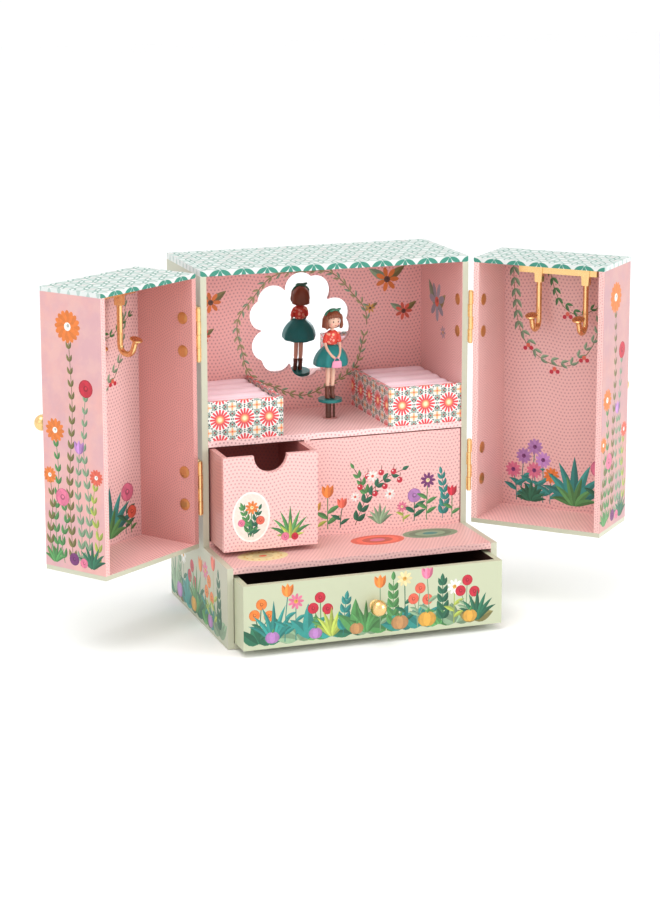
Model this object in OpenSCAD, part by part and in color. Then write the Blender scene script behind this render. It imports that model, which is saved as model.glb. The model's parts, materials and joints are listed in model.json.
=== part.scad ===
// Musical jewellery cabinet: a paper-covered board cabinet with two deep box doors,
// a base drawer, a small drawer and a turning doll driven by a wound movement.
// Millimetres, +Z up, front faces -Y, origin at the middle of the base's underside.

/* [Cabinet] */
// Overall width across the two side boards
body_w = 210; // [175:1:252]
// Overall height to the top of the lid board
body_h = 268; // [250:1:320]
// Depth of the upper cabinet behind the doors
cabinet_d = 90; // [82:1:110]
// Depth of the open deck in front of the cabinet, covered by the closed doors
ledge_d = 60; // [50:1:72]
// Thickness of the greyboard panels
board = 4.5; // [3.5:0.1:5.5]
// Top of the deck that covers the base
deck_z = 60.4; // [52:0.2:72]
// Top of the shelf that carries the doll and the trays
shelf_z = 140.5; // [132:0.5:165]
// Thickness of the thin board closing the back
back_t = 2.5; // [2:0.1:3]

/* [Doors] */
// Outside depth of each box door
door_d = 56; // [46:1:66]
// Thickness of a door's top and bottom boards
door_end_t = 3.4; // [3:0.1:4]
// Left door: angle it stands open
left_open = 145; // [0:1:180]
// Right door: angle it stands open
right_open = 134; // [0:1:180]
// Diameter of the ball knobs
knob_d = 12; // [9:0.5:14]

/* [Drawers] */
// Width of the bay for the small drawer
small_bay_w = 74.5; // [60:0.5:90]
// Diameter of the thumb notch in the small drawer's front
notch_d = 25.6; // [20:0.2:30]
// How far the small drawer stands out
small_out = 32; // [0:1:60]
// How far the base drawer stands out
base_out = 22; // [0:1:100]
// Height of the base drawer's boards
base_drawer_h = 48; // [40:0.5:50]

/* [Upper compartment] */
// Width of each ring tray
tray_w = 58.5; // [45:0.5:65]
// Height of each ring tray
tray_h = 29.5; // [24:0.5:34]
// Rolls in each ring cushion
rolls = 5; // [4:1:6]
// Distance of each lobe of the mirror opening from its middle
lobe_ring = 29.5; // [24:0.5:32]
// Radius of each half lobe of the mirror opening
lobe_r = 12.6; // [12.2:0.2:14]

/* [Doll and movement] */
// Doll's place across the shelf
doll_x = 10.5; // [0:0.5:12]
// Height of the doll from her disc to the top of her hair
doll_h = 68; // [56:1:75]
// Height of the doll's disc above the shelf
disc_up = 13; // [8:0.5:18]

/* [Hidden] */
fit = 0.05;                       // radial running clearance of every pin and arbor
slack = 0.5;                      // sliding clearance of the drawers
seam = 0.8;                       // gap between door and cabinet, and between the doors
half_w = body_w / 2;
in_x = half_w - board;            // inner face of a side board
front_y = -(cabinet_d + ledge_d) / 2;
back_y = -front_y;
cab_y = back_y - cabinet_d;       // front edge of the upper cabinet
in_back = back_y - back_t;        // inner face of the back board
mirror_t = 1;
liner_t = 2;
liner_y = in_back - mirror_t - liner_t;
lid_under = body_h - board;
shelf_under = shelf_z - board;
// doors
door_w = half_w - seam / 2;
door_lift = 0.4;                  // gap between a closed door and the deck
door_z0 = deck_z + door_lift;
door_z1 = body_h - 1.5;
door_h = door_z1 - door_z0;
// hinges
hinge_h = 39;
leaf_t = 0.8;
leaf_w = 14;
barrel_r = 1.75;
pin_off = 2.05;                   // pin centre outside the side board
pin_r = 0.85;
rivet_in = 9;                     // rivets behind the seam
rivet_gap = 24.5;
rivet_r = 1.5;
rivet_head_r = 4.4;
rivet_head_t = 1;
hinge_mid = (door_z0 + door_z1) / 2;
hinge_rise = door_h * 0.28;       // each hinge above or below the middle of the door
hinge_z = [hinge_mid - hinge_rise, hinge_mid + hinge_rise];
axis_y = cab_y - seam / 2;
knuckles = 4;
// small drawer
sill_t = door_end_t + 0.65 - slack + 0.25;  // board that lifts the drawer clear of the closing door
small_x0 = -in_x + 1.6;
small_x1 = -in_x + small_bay_w - slack;
small_z0 = deck_z + sill_t + 0.3;
small_z1 = shelf_under - 1.2;
small_len = in_back - cab_y - 3;
divider_x = -in_x + small_bay_w;
drawer_t = board - 0.5;
// base drawer
base_x = in_x - slack;
base_z0 = board + 0.5;
base_len = in_back - front_y - 3;
// trays
tray_t = 2.5;
tray_y = cab_y + 1;
// doll and movement
spin_y = cab_y + (liner_y - cab_y) * 0.54;
shaft_r = 1.25;                   // arbor of the pinned cylinder
hub_r = 5.6;
plate_t = 2;
bed_y = in_back - 8;              // face of the bedplate towards the back board
mesh_gap = 0.12;                  // added to each pair of wheel centres
tooth = 0.5;                      // module of the train wheels
big_n = 40;
small_n = 10;
fly_n = 8;
crown_n = 30;
crown_r = 11;
crown_m = 2 * crown_r / crown_n;
pinion_n = 10;
pinion_r = crown_m * pinion_n / 2;
barrel_z = deck_z + 22;           // spring barrel's axis
crown_top = barrel_z + crown_r;
wheel_z = crown_top + 4.6;        // train wheel level
cyl_z0 = wheel_z + 6.4;
cyl_len = shelf_under - cyl_z0 - 9;
cyl_r = 6.4;
lug_z = shelf_under - 6;          // top bearing lug
foot_z = crown_top - 8.6;         // bottom bearing lug
train_a = -25;                    // direction of the train wheel from the arbor
train_c = tooth * (big_n + small_n) / 2 + mesh_gap;
fly_c = tooth * (big_n + fly_n) / 2 + mesh_gap;
train_x = doll_x + train_c * cos(train_a);
train_y = spin_y + train_c * sin(train_a);
fly_a = 5;
fly_x = train_x + fly_c * cos(fly_a);
fly_y = train_y + fly_c * sin(fly_a);
// finish colours
pink = [0.93, 0.72, 0.69];
cream = [0.90, 0.92, 0.79];
mint = [0.85, 0.92, 0.84];
white = [0.96, 0.97, 0.95];
tile = [0.90, 0.62, 0.58];
brass = [0.85, 0.62, 0.25];
steel = [0.72, 0.73, 0.75];
zinc = [0.80, 0.80, 0.78];
teal = [0.13, 0.50, 0.46];

// a box from one corner to the other
module slab(a, b) { translate(a) cube(b - a); }

// a round bar along x, y or z from a point
module bar_x(p, l, r) { translate(p) rotate([0, 90, 0]) cylinder(h = l, r = r, $fn = 48); }
module bar_y(p, l, r) { translate(p) rotate([-90, 0, 0]) cylinder(h = l, r = r, $fn = 48); }
module bar_z(p, l, r) { translate(p) cylinder(h = l, r = r, $fn = 48); }

// two hinges by two rivets, along a side board: children drawn at each rivet centre height
module at_rivets() {
  for (z = hinge_z) for (s = [-1, 1]) translate([0, 0, z + s * rivet_gap / 2]) children();
}

// ---------------------------------------------------------------- cabinet boards

// one side board: tall behind the doors, low under the deck
module side_board() {
  difference() {
    rotate([90, 0, 90]) linear_extrude(board)
      polygon([[front_y, 0], [back_y, 0], [back_y, lid_under], [cab_y, lid_under],
               [cab_y, deck_z], [front_y, deck_z]]);
    at_rivets() bar_x([-1, cab_y + rivet_in, 0], board + 2, rivet_r + fit);
  }
}

module left_side() { color(cream) translate([-half_w, 0, 0]) side_board(); }
module right_side() { color(cream) translate([in_x, 0, 0]) side_board(); }

// its front edge stands a little proud under the drawer
module bottom_board() {
  color(cream) slab([-in_x, front_y - 1, 0], [in_x, back_y, board]);
}

module deck_board() {
  color(pink) slab([-in_x, front_y, deck_z - board], [in_x, in_back, deck_z]);
}

module shelf_board() {
  color(pink) difference() {
    slab([-in_x, cab_y, shelf_under], [in_x, in_back, shelf_z]);
    bar_z([doll_x, spin_y, shelf_under - 1], board + 2, hub_r + 0.4);
  }
}

module top_board() { color(white) slab([-half_w, cab_y, lid_under], [half_w, back_y, body_h]); }

// full-height back, with the hole for the winding shaft
module back_board() {
  color(cream) difference() {
    slab([-in_x, in_back, board], [in_x, back_y, lid_under]);
    bar_y([doll_x, in_back - 1, barrel_z], back_t + 2, 3);
  }
}

module divider() {
  color(pink) slab([divider_x, cab_y, deck_z], [divider_x + board, in_back, shelf_under]);
}

// dummy front that hides the movement, glued to the divider, a dark gap on three sides
module fixed_panel() {
  color(pink) slab([divider_x + board, cab_y + 0.4, deck_z],
                   [in_x - 0.8, cab_y + 0.4 + board, shelf_under - 1]);
}

module drawer_sill() {
  color(pink) slab([-in_x, cab_y, deck_z], [divider_x, in_back, deck_z + sill_t]);
}

module mirror_sheet() {
  color([0.88, 0.91, 0.93])
    slab([-in_x, in_back - mirror_t, shelf_z], [in_x, in_back, lid_under]);
}

// middle of the blossom opening
blossom = [-1, (shelf_z + lid_under) / 2 + 3.8];

module mirror_liner() {
  color(pink) difference() {
    slab([-in_x, liner_y, shelf_z], [in_x, in_back - mirror_t, lid_under]);
    bar_y([blossom[0], liner_y - 1, blossom[1]], liner_t + 2, lobe_ring * 0.86);
    // five petals, each two overlapping half lobes with a shallow notch between them
    for (i = [0 : 4]) for (half = [-12, 12])
      bar_y([blossom[0] + lobe_ring * cos(4 + 72 * i + half), liner_y - 1,
             blossom[1] + lobe_ring * sin(4 + 72 * i + half)], liner_t + 2, lobe_r);
  }
}

// ---------------------------------------------------------------- ring trays

module left_tray_front() {
  color(tile) slab([-in_x, tray_y, shelf_z], [-in_x + tray_w, tray_y + tray_t, shelf_z + tray_h]);
}
module left_tray_side() {
  color(tile) slab([-in_x + tray_w - tray_t, tray_y + tray_t, shelf_z],
                   [-in_x + tray_w, liner_y, shelf_z + tray_h]);
}
module right_tray_front() {
  color(tile) slab([in_x - tray_w, tray_y, shelf_z], [in_x, tray_y + tray_t, shelf_z + tray_h]);
}
module right_tray_side() {
  color(tile) slab([in_x - tray_w, tray_y + tray_t, shelf_z],
                   [in_x - tray_w + tray_t, liner_y, shelf_z + tray_h]);
}

// foam ring cushion: rolls side by side on a flat foam bed, slots between them for rings
module ring_cushion(x0, x1) {
  y0 = tray_y + tray_t;
  pitch = (liner_y - y0) / rolls;
  r = pitch / 2 - 0.3;
  bed = tray_h - r - 0.5;
  union() {
    slab([x0, y0, shelf_z], [x1, liner_y, shelf_z + bed * 0.62]);
    for (i = [0 : rolls - 1]) {
      slab([x0, y0 + pitch * i + 0.3, shelf_z + bed * 0.5],
           [x1, y0 + pitch * (i + 1) - 0.3, shelf_z + bed]);
      bar_x([x0, y0 + pitch * (i + 0.5), shelf_z + bed], x1 - x0, r);
    }
  }
}
module left_cushion() { color([0.95, 0.75, 0.80]) ring_cushion(-in_x, -in_x + tray_w - tray_t); }
module right_cushion() { color([0.95, 0.75, 0.80]) ring_cushion(in_x - tray_w + tray_t, in_x); }

// ---------------------------------------------------------------- hinges

// the knuckles of one leaf: every second one along the barrel, bored for the pin
module barrels(first, bore) {
  pitch = hinge_h / knuckles;
  for (i = [first : 2 : knuckles - 1])
    bar_z([0, 0, -hinge_h / 2 + pitch * i + 0.1], pitch - 0.2, barrel_r);
}

// a leaf flat on the outside of a board, with its knuckles round the pin at the origin;
// way is +1 for a leaf running to +y
module leaf(first, way) {
  pitch = hinge_h / knuckles;
  difference() {
    union() {
      barrels(first);
      for (i = [first : 2 : knuckles - 1])
        slab([pin_off - leaf_t, min(0, way * 3.4), -hinge_h / 2 + pitch * i + 0.1],
             [pin_off, max(0, way * 3.4), -hinge_h / 2 + pitch * (i + 1) - 0.1]);
      slab([pin_off - leaf_t, min(way * 2.3, way * leaf_w), -hinge_h / 2 + 0.1],
           [pin_off, max(way * 2.3, way * leaf_w), hinge_h / 2 - 0.1]);
    }
    bar_z([0, 0, -hinge_h], 2 * hinge_h, pin_r + fit);
    for (s = [-1, 1])
      bar_x([pin_off - 2, way * (rivet_in + seam / 2), s * rivet_gap / 2], 4, rivet_r + fit);
  }
}

// places a left-hand hinge part and its mirror image on the right
module both_hinges() {
  for (m = [0, 1]) mirror([m, 0, 0]) for (z = hinge_z)
    translate([-half_w - pin_off, axis_y, z]) children();
}

module cabinet_hinge_leaves() { color(brass) both_hinges() leaf(0, 1); }

module hinge_pins() {
  color(brass) both_hinges() union() {
    bar_z([0, 0, -hinge_h / 2 - 0.2], hinge_h + 0.4, pin_r);
    bar_z([0, 0, hinge_h / 2 + 0.05], 0.8, barrel_r - 0.25);
    bar_z([0, 0, -hinge_h / 2 - 0.85], 0.8, barrel_r - 0.25);
  }
}

// a rivet through leaf and board, pointing to +x: flat head outside, low dome inside
module rivet() {
  union() {
    bar_x([-leaf_t - 0.6, 0, 0], 0.6, 2.8);
    bar_x([-leaf_t - 0.6, 0, 0], board + leaf_t + 0.8, rivet_r);
    bar_x([board, 0, 0], rivet_head_t * 0.4, rivet_head_r);
    translate([board + rivet_head_t * 0.4, 0, 0]) rotate([0, 90, 0])
      cylinder(h = rivet_head_t * 0.6, r1 = rivet_head_r, r2 = rivet_head_r * 0.55, $fn = 48);
  }
}

module cabinet_rivets() {
  color(brass) for (m = [0, 1]) mirror([m, 0, 0]) translate([-half_w, cab_y + rivet_in, 0])
    at_rivets() rivet();
}

// ---------------------------------------------------------------- box doors
// each door is drawn shut on the left, then turned open about its pin, and mirrored for the right

module hung(side) {
  if (side < 0)
    translate([-half_w - pin_off, axis_y, 0]) rotate([0, 0, -left_open])
      translate([half_w + pin_off, -axis_y, 0]) children();
  else
    mirror([1, 0, 0]) translate([-half_w - pin_off, axis_y, 0]) rotate([0, 0, -right_open])
      translate([half_w + pin_off, -axis_y, 0]) children();
}

door_back = cab_y - seam;
door_front = door_back - door_d;
knob_in = board + 3.5;            // knob centre in from the free edge
knob_z = (door_z0 + door_z1) / 2 + 2;

module door_panel() {
  difference() {
    slab([-half_w, door_front, door_z0 + door_end_t],
         [-half_w + door_w, door_front + board, door_z1 - door_end_t]);
    bar_y([-half_w + door_w - knob_in, door_front - 1, knob_z], board + 2, 1.5 + fit);
  }
}
module door_end(z) {
  slab([-half_w, door_front, z], [-half_w + door_w, door_back, z + door_end_t]);
}
module door_hinge_wall() {
  difference() {
    slab([-half_w, door_front + board, door_z0 + door_end_t],
         [-half_w + board, door_back, door_z1 - door_end_t]);
    at_rivets() bar_x([-half_w - 1, door_back - rivet_in, 0], board + 2, rivet_r + fit);
  }
}
module door_free_wall() {
  slab([-half_w + door_w - board, door_front + board, door_z0 + door_end_t],
       [-half_w + door_w, door_back, door_z1 - door_end_t]);
}
module door_leaves() {
  for (z = hinge_z) translate([-half_w - pin_off, axis_y, z]) leaf(1, -1);
}
module door_rivets() {
  translate([-half_w, door_back - rivet_in, 0]) at_rivets() rivet();
}

// ball knob on a flange and a short neck, its screw head inside; points to -y from a face
module knob() {
  r = knob_d / 2;
  rotate([90, 0, 0]) rotate_extrude($fn = 64)
    polygon(concat([[0, 0], [r * 0.72, 0], [r * 0.72, 0.5], [r * 0.6, 1.1], [r * 0.38, 1.6], [r * 0.36, 2.6]],
      [for (a = [-62 : 8 : 90]) [r * cos(a), r * 0.88 + 2.8 + r * 0.94 * sin(a)]],
      [[0, r * 1.82 + 2.8]]));
  bar_y([0, -1, 0], board + 1.2, 1.5);
  bar_y([0, board, 0], 1.1, 3);
}
module door_knob() {
  translate([-half_w + door_w - knob_in, door_front, knob_z]) knob();
}

// flat rail under the door's top with two tapered square bosses the hooks screw into
rail_in = 41;                     // rail's depth behind the door's open side
rail_z = door_z1 - door_end_t - 11.5;
boss_drop = 7;                    // bosses hang this far under the rail
hook_w = [37, 75];                // hooks across the door, from the hinge side
hook_x = [for (w = hook_w) -half_w + w * door_w / 104.6];
hook_r = 2.1;
hook_bend = 6.5;
hook_drop = 36;                   // bend centre under the rail
hook_lean = 20;
module hook_rail() {
  top = door_z1 - door_end_t;
  union() {
    slab([-half_w + 21, door_back - rail_in - 2, rail_z], [hook_x[1] + 9, door_back - rail_in + 2, rail_z + 6]);
    for (x = hook_x)
      translate([x, door_back - rail_in + 2.7, 0]) rotate([90, 0, 0]) linear_extrude(5.4)
        polygon([[-3.75, top], [-2.7, rail_z - boss_drop], [2.7, rail_z - boss_drop], [3.75, top]]);
  }
}

// J hook: straight stem, bend towards the opening, short leaning end that flares to a button
module hooks() {
  for (x = hook_x) translate([x, door_back - rail_in, 0]) union() {
    bar_z([0, 0, rail_z - hook_drop], hook_drop - boss_drop, hook_r);
    translate([0, hook_bend, rail_z - hook_drop]) rotate([90, 0, 90]) rotate([0, 0, 180])
      rotate_extrude(angle = 180 - hook_lean, $fn = 48) translate([hook_bend, 0]) circle(r = hook_r, $fn = 24);
    translate([0, hook_bend * (1 + cos(hook_lean)), rail_z - hook_drop - hook_bend * sin(hook_lean)])
      rotate([-hook_lean, 0, 0]) rotate_extrude($fn = 48)
        polygon([[0, -2], [1.4, -2], [1.4, 0], [hook_r, 0], [hook_r, 5], [2.5, 6.3], [4.1, 7.4], [4.8, 7.6], [4.8, 8.2],
                 [4.2, 8.6], [0, 8.6]]);
  }
}

module left_door_panel() { color(mint) hung(-1) door_panel(); }
module left_door_top() { color(white) hung(-1) door_end(door_z1 - door_end_t); }
module left_door_bottom() { color(cream) hung(-1) door_end(door_z0); }
module left_door_hinge_wall() { color(pink) hung(-1) door_hinge_wall(); }
module left_door_free_wall() { color(pink) hung(-1) door_free_wall(); }
module left_door_leaves() { color(brass) hung(-1) door_leaves(); }
module left_door_rivets() { color(brass) hung(-1) door_rivets(); }
module left_door_knob() { color(brass) hung(-1) door_knob(); }
module left_hook_rail() { color(brass) hung(-1) hook_rail(); }
module left_hooks() { color(brass) hung(-1) hooks(); }
module right_door_panel() { color(mint) hung(1) door_panel(); }
module right_door_top() { color(white) hung(1) door_end(door_z1 - door_end_t); }
module right_door_bottom() { color(cream) hung(1) door_end(door_z0); }
module right_door_hinge_wall() { color(pink) hung(1) door_hinge_wall(); }
module right_door_free_wall() { color(pink) hung(1) door_free_wall(); }
module right_door_leaves() { color(brass) hung(1) door_leaves(); }
module right_door_rivets() { color(brass) hung(1) door_rivets(); }
module right_door_knob() { color(brass) hung(1) door_knob(); }
module right_hook_rail() { color(brass) hung(1) hook_rail(); }
module right_hooks() { color(brass) hung(1) hooks(); }

// ---------------------------------------------------------------- drawers

small_y = cab_y - small_out;      // outer face of the small drawer's front
module small_drawer_front() {
  mid = (small_x0 + small_x1) / 2;
  color(pink) difference() {
    slab([small_x0, small_y, small_z0], [small_x1, small_y + drawer_t, small_z1]);
    bar_y([mid, small_y - 1, small_z1], drawer_t + 2, notch_d / 2);
  }
}
module small_drawer_sides() {
  color(pink) for (x = [small_x0, small_x1 - drawer_t])
    slab([x, small_y + drawer_t, small_z0], [x + drawer_t, small_y + small_len, small_z1]);
}
module small_drawer_back() {
  color(pink) slab([small_x0 + drawer_t, small_y + small_len - drawer_t, small_z0],
                   [small_x1 - drawer_t, small_y + small_len, small_z1]);
}
module small_drawer_floor() {
  color(pink) slab([small_x0 + drawer_t, small_y + drawer_t, small_z0],
                   [small_x1 - drawer_t, small_y + small_len - drawer_t, small_z0 + 2]);
}

base_y = front_y - base_out;      // outer face of the base drawer's front
base_z1 = base_z0 + base_drawer_h;
module base_drawer_front() {
  color(mint) difference() {
    slab([-base_x, base_y, base_z0], [base_x, base_y + board, base_z1]);
    bar_y([0, base_y - 1, (base_z0 + base_z1) / 2], board + 2, 1.5 + fit);
  }
}
module base_drawer_sides() {
  color(mint) for (x = [-base_x, base_x - board])
    slab([x, base_y + board, base_z0], [x + board, base_y + base_len, base_z1]);
}
module base_drawer_back() {
  color(mint) slab([-base_x + board, base_y + base_len - board, base_z0],
                   [base_x - board, base_y + base_len, base_z1]);
}
module base_drawer_floor() {
  color(pink) slab([-base_x + board, base_y + board, base_z0],
                   [base_x - board, base_y + base_len - board, base_z0 + 2]);
}
module base_drawer_knob() {
  color(brass) translate([0, base_y, (base_z0 + base_z1) / 2]) knob();
}

// ---------------------------------------------------------------- movement

// wheel blank with straight-sided teeth, a tooth centred on direction turn
module wheel(n, m, h, turn, bore) {
  r = m * n / 2;
  step = 360 / n;
  difference() {
    linear_extrude(h) rotate(turn) polygon([for (i = [0 : n - 1]) for (k = [0 : 3])
      let (a = i * step + [-0.26, -0.11, 0.11, 0.26][k] * step,
           q = [r - 1.25 * m, r + 0.85 * m, r + 0.85 * m, r - 1.25 * m][k])
      [q * cos(a), q * sin(a)]]);
    translate([0, 0, -1]) cylinder(h = h + 2, r = bore, $fn = 48);
  }
}

// cast bedplate: upright plate on three pillars, top lug, side cheek and foot lug
module bedplate() {
  color(zinc) difference() {
    union() {
      slab([doll_x - 24, bed_y - plate_t, barrel_z - 14], [fly_x + 5, bed_y, lug_z + 3]);
      slab([doll_x - 24, train_y - 5, lug_z], [fly_x + 5, bed_y, lug_z + 3]);
      slab([doll_x - 24, train_y - 5, foot_z], [doll_x - 20, bed_y, lug_z + 3]);
      slab([doll_x - 24, train_y - 5, foot_z], [fly_x + 5, spin_y + 2.8, foot_z + 2]);
      for (p = [[doll_x - 20, barrel_z - 10], [fly_x + 1, barrel_z - 10], [doll_x + 8, lug_z - 3]])
        bar_y([p[0], bed_y - plate_t, p[1]], in_back - bed_y + plate_t, 3);
    }
    for (p = [[doll_x - 20, barrel_z - 10], [fly_x + 1, barrel_z - 10], [doll_x + 8, lug_z - 3]])
      bar_y([p[0], bed_y - plate_t - 1, p[1]], 20, 1.1);
    bar_z([doll_x, spin_y, lug_z - 1], 5, shaft_r + fit);
    bar_z([doll_x, spin_y, foot_z - 1], 5, shaft_r + fit);
    for (z = [foot_z, lug_z]) {
      bar_z([train_x, train_y, z - 1], 5, 0.8 + fit);
      bar_z([fly_x, fly_y, z - 1], 5, 0.8 + fit);
    }
    bar_y([doll_x, bed_y - plate_t - 1, barrel_z], 5, 2.5 + fit);
  }
}

// steel comb screwed to the side cheek, its teeth reaching the cylinder's pins
comb_n = 18;
module comb() {
  pitch = cyl_len / comb_n;
  tip = doll_x - cyl_r - 0.75;
  color(steel) union() {
    slab([doll_x - 20, spin_y - 0.5, cyl_z0], [doll_x - 14, spin_y + 0.5, cyl_z0 + cyl_len]);
    for (i = [0 : comb_n - 1])
      slab([doll_x - 14.2, spin_y - 0.35, cyl_z0 + pitch * i + 0.12],
           [tip, spin_y + 0.35, cyl_z0 + pitch * (i + 1) - 0.12]);
    for (z = [cyl_z0 + 4, cyl_z0 + cyl_len - 4]) bar_y([doll_x - 17, spin_y - 1.6, z], 2.4, 1.8);
  }
}

// pinned cylinder on the arbor that carries the doll, with its great wheel and crown pinion
module cylinder_pins() {
  pitch = cyl_len / comb_n;
  for (i = [0 : comb_n - 1]) for (k = [0 : 1])
    let (a = 45 + i * 97 + k * (130 + 11 * i))
      if (abs((a % 360) - 180) > 12)
        translate([doll_x, spin_y, cyl_z0 + pitch * (i + 0.5)]) rotate([0, 0, a])
          bar_x([cyl_r - 0.3, 0, 0], 0.75, 0.25);
}
module cylinder_body() {
  bar_z([doll_x, spin_y, foot_z - 0.5], shelf_under - foot_z - 1, shaft_r);
  bar_z([doll_x, spin_y, cyl_z0], cyl_len, cyl_r);
  translate([doll_x, spin_y, wheel_z + 2.4]) wheel(big_n, tooth, 1.6, train_a, 1);
  translate([doll_x, spin_y, crown_top - 3.4]) wheel(pinion_n, crown_m, 4.2, 90, 1);
  bar_z([doll_x, spin_y, cyl_z0 - 3], 3.2, 3);
}
module pinned_cylinder() { color(brass) union() { cylinder_body(); cylinder_pins(); } }

module train_wheel() {
  color(brass) union() {
    bar_z([train_x, train_y, foot_z + 0.3], lug_z + 2 - foot_z, 0.8);
    translate([train_x, train_y, wheel_z + 1.8])
      wheel(small_n, tooth, 2.8, train_a + 180 + 18, 0.7);
    translate([train_x, train_y, wheel_z]) wheel(big_n, tooth, 1.4, fly_a, 0.7);
    bar_z([train_x, train_y, wheel_z - 1.2], 3.2, 1.6);
  }
}

// fan governor: pinion and two flat vanes that beat the air
module governor() {
  color(steel) union() {
    bar_z([fly_x, fly_y, foot_z + 0.3], lug_z + 2 - foot_z, 0.8);
    translate([fly_x, fly_y, wheel_z - 0.6]) wheel(fly_n, tooth, 2.6, fly_a + 180 + 22.5, 0.7);
    bar_z([fly_x, fly_y, wheel_z + 8], 12, 1.5);
    slab([fly_x - 3.8, fly_y - 0.3, wheel_z + 8.5], [fly_x + 3.8, fly_y + 0.3, wheel_z + 19.5]);
  }
}

// spring barrel with crown teeth on its front rim, running on the winding arbor
crown_y = spin_y + pinion_r + 0.36;
module spring_barrel() {
  color(brass) union() {
    difference() {
      bar_y([doll_x, crown_y + 0.9, barrel_z], 9, crown_r + 0.8);
      bar_y([doll_x, crown_y, barrel_z], 3, crown_r - 1.8);
    }
    for (i = [0 : crown_n - 1]) translate([doll_x, crown_y, barrel_z])
      rotate([0, i * 360 / crown_n + 180 / crown_n, 0])
        slab([-0.46, -0.55, crown_r - 1.4], [0.46, 1.2, crown_r + 0.8]);
    bar_y([doll_x, crown_y + 2, barrel_z], bed_y + 3 - crown_y - 2, 2.5);
  }
}

// threaded arbor out through the back with a wing key
module winding_key() {
  color(brass) union() {
    bar_y([doll_x, bed_y + 3, barrel_z], back_y + 6 - bed_y, 1.9);
    bar_y([doll_x, back_y + 3, barrel_z], 9, 2.9);
    difference() {
      union() {
        bar_y([doll_x, back_y + 6, barrel_z], 1.6, 3.4);
        for (s = [-1, 1]) translate([doll_x + s * 7.2, back_y + 12.2, barrel_z])
          rotate([0, 0, 0]) bar_z([0, 0, -0.9], 1.8, 6.6);
      }
      for (s = [-1, 1]) bar_z([doll_x + s * 7.8, back_y + 12.6, barrel_z - 2], 4, 3.2);
    }
  }
}

// ---------------------------------------------------------------- doll

disc_z = shelf_z + disc_up;
module doll_stand() {
  color(teal) translate([doll_x, spin_y, 0]) union() {
    translate([0, 0, disc_z]) cylinder(h = 2.4, r = 9.2, $fn = 64);
    translate([-1.4, 0, shelf_z - 1]) cylinder(h = disc_up + 1.5, r = 2.2, $fn = 48);
    translate([3.1, 0, shelf_z - 1]) cylinder(h = disc_up + 1.5, r = 0.9, $fn = 32);
    difference() {
      translate([0, 0, shelf_under - 0.4]) cylinder(h = board + 0.3, r = hub_r, $fn = 64);
      translate([0, 0, shelf_under - 2]) cylinder(h = 3.5, r = shaft_r + 0.02, $fn = 48);
    }
  }
}

u = doll_h / 68;                  // scale of the doll's own sizes
foot = disc_z + 2.4;
core_r = 2.6;                     // trunk inside the dress
module doll_arms(grow) {
  for (s = [-1, 1]) translate([s * 5.4, -0.6, 47]) rotate([24, s * 16, 0])
    translate([0, 0, -15]) cylinder(h = 15, r = 1.1 + grow, $fn = 24);
}
module doll_figure() {
  color([0.93, 0.80, 0.68]) translate([doll_x, spin_y, foot]) scale(u) union() {
    for (s = [-1, 1]) {
      translate([s * 2.4, -0.4, 0]) cylinder(h = 9, r = 2.2, $fn = 32);
      translate([s * 2.4, -2.4, 2.4]) sphere(r = 2.1, $fn = 32);
      translate([s * 2.4, -0.4, 8.5]) cylinder(h = 20, r = 1.9, $fn = 32);
    }
    translate([0, -0.5, 28]) cylinder(h = 2, r = 4.8, $fn = 48);
    translate([0, -0.5, 29]) cylinder(h = 22, r = core_r, $fn = 48);
    translate([0, -0.5, 50.5]) cylinder(h = 7, r = 1.4, $fn = 32);
    translate([0, -0.5, 59.4]) sphere(r = 6.6, $fn = 48);
    doll_arms(0);
  }
}
module doll_dress() {
  color([0.12, 0.50, 0.47]) translate([doll_x, spin_y, foot]) scale(u) difference() {
    union() {
      translate([0, -0.5, 25]) cylinder(h = 15, r1 = 12.6, r2 = 4.4, $fn = 64);
      translate([0, -0.5, 39.8]) cylinder(h = 6.4, r1 = 3.9, r2 = 4.6, $fn = 48);
      translate([0, -0.5, 46]) cylinder(h = 5, r1 = 4.6, r2 = core_r + 0.4, $fn = 48);
      for (s = [-1, 1]) translate([s * 5, -0.6, 46.6]) sphere(r = 2.2, $fn = 24);
    }
    translate([0, -0.5, 24]) cylinder(h = 12, r1 = 12.4, r2 = 5.2, $fn = 64);
    translate([0, -0.5, 20]) cylinder(h = 40, r = core_r + 0.02, $fn = 48);
    doll_arms(0.02);
  }
}

left_side();
right_side();
bottom_board();
deck_board();
shelf_board();
top_board();
back_board();
divider();
fixed_panel();
drawer_sill();
mirror_sheet();
mirror_liner();
left_tray_front();
left_tray_side();
right_tray_front();
right_tray_side();
left_cushion();
right_cushion();
cabinet_hinge_leaves();
cabinet_rivets();
hinge_pins();
left_door_panel();
left_door_top();
left_door_bottom();
left_door_hinge_wall();
left_door_free_wall();
left_door_leaves();
left_door_rivets();
left_door_knob();
left_hook_rail();
left_hooks();
right_door_panel();
right_door_top();
right_door_bottom();
right_door_hinge_wall();
right_door_free_wall();
right_door_leaves();
right_door_rivets();
right_door_knob();
right_hook_rail();
right_hooks();
small_drawer_front();
small_drawer_sides();
small_drawer_back();
small_drawer_floor();
base_drawer_front();
base_drawer_sides();
base_drawer_back();
base_drawer_floor();
base_drawer_knob();
bedplate();
comb();
pinned_cylinder();
train_wheel();
governor();
spring_barrel();
winding_key();
doll_stand();
doll_figure();
doll_dress();
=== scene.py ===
import json
import random
from math import atan2, copysign, cos, dist, pi, radians, sin, sqrt

import bmesh
import bpy
import numpy as np
from mathutils import Matrix, Vector
from mathutils.geometry import delaunay_2d_cdt


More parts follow.
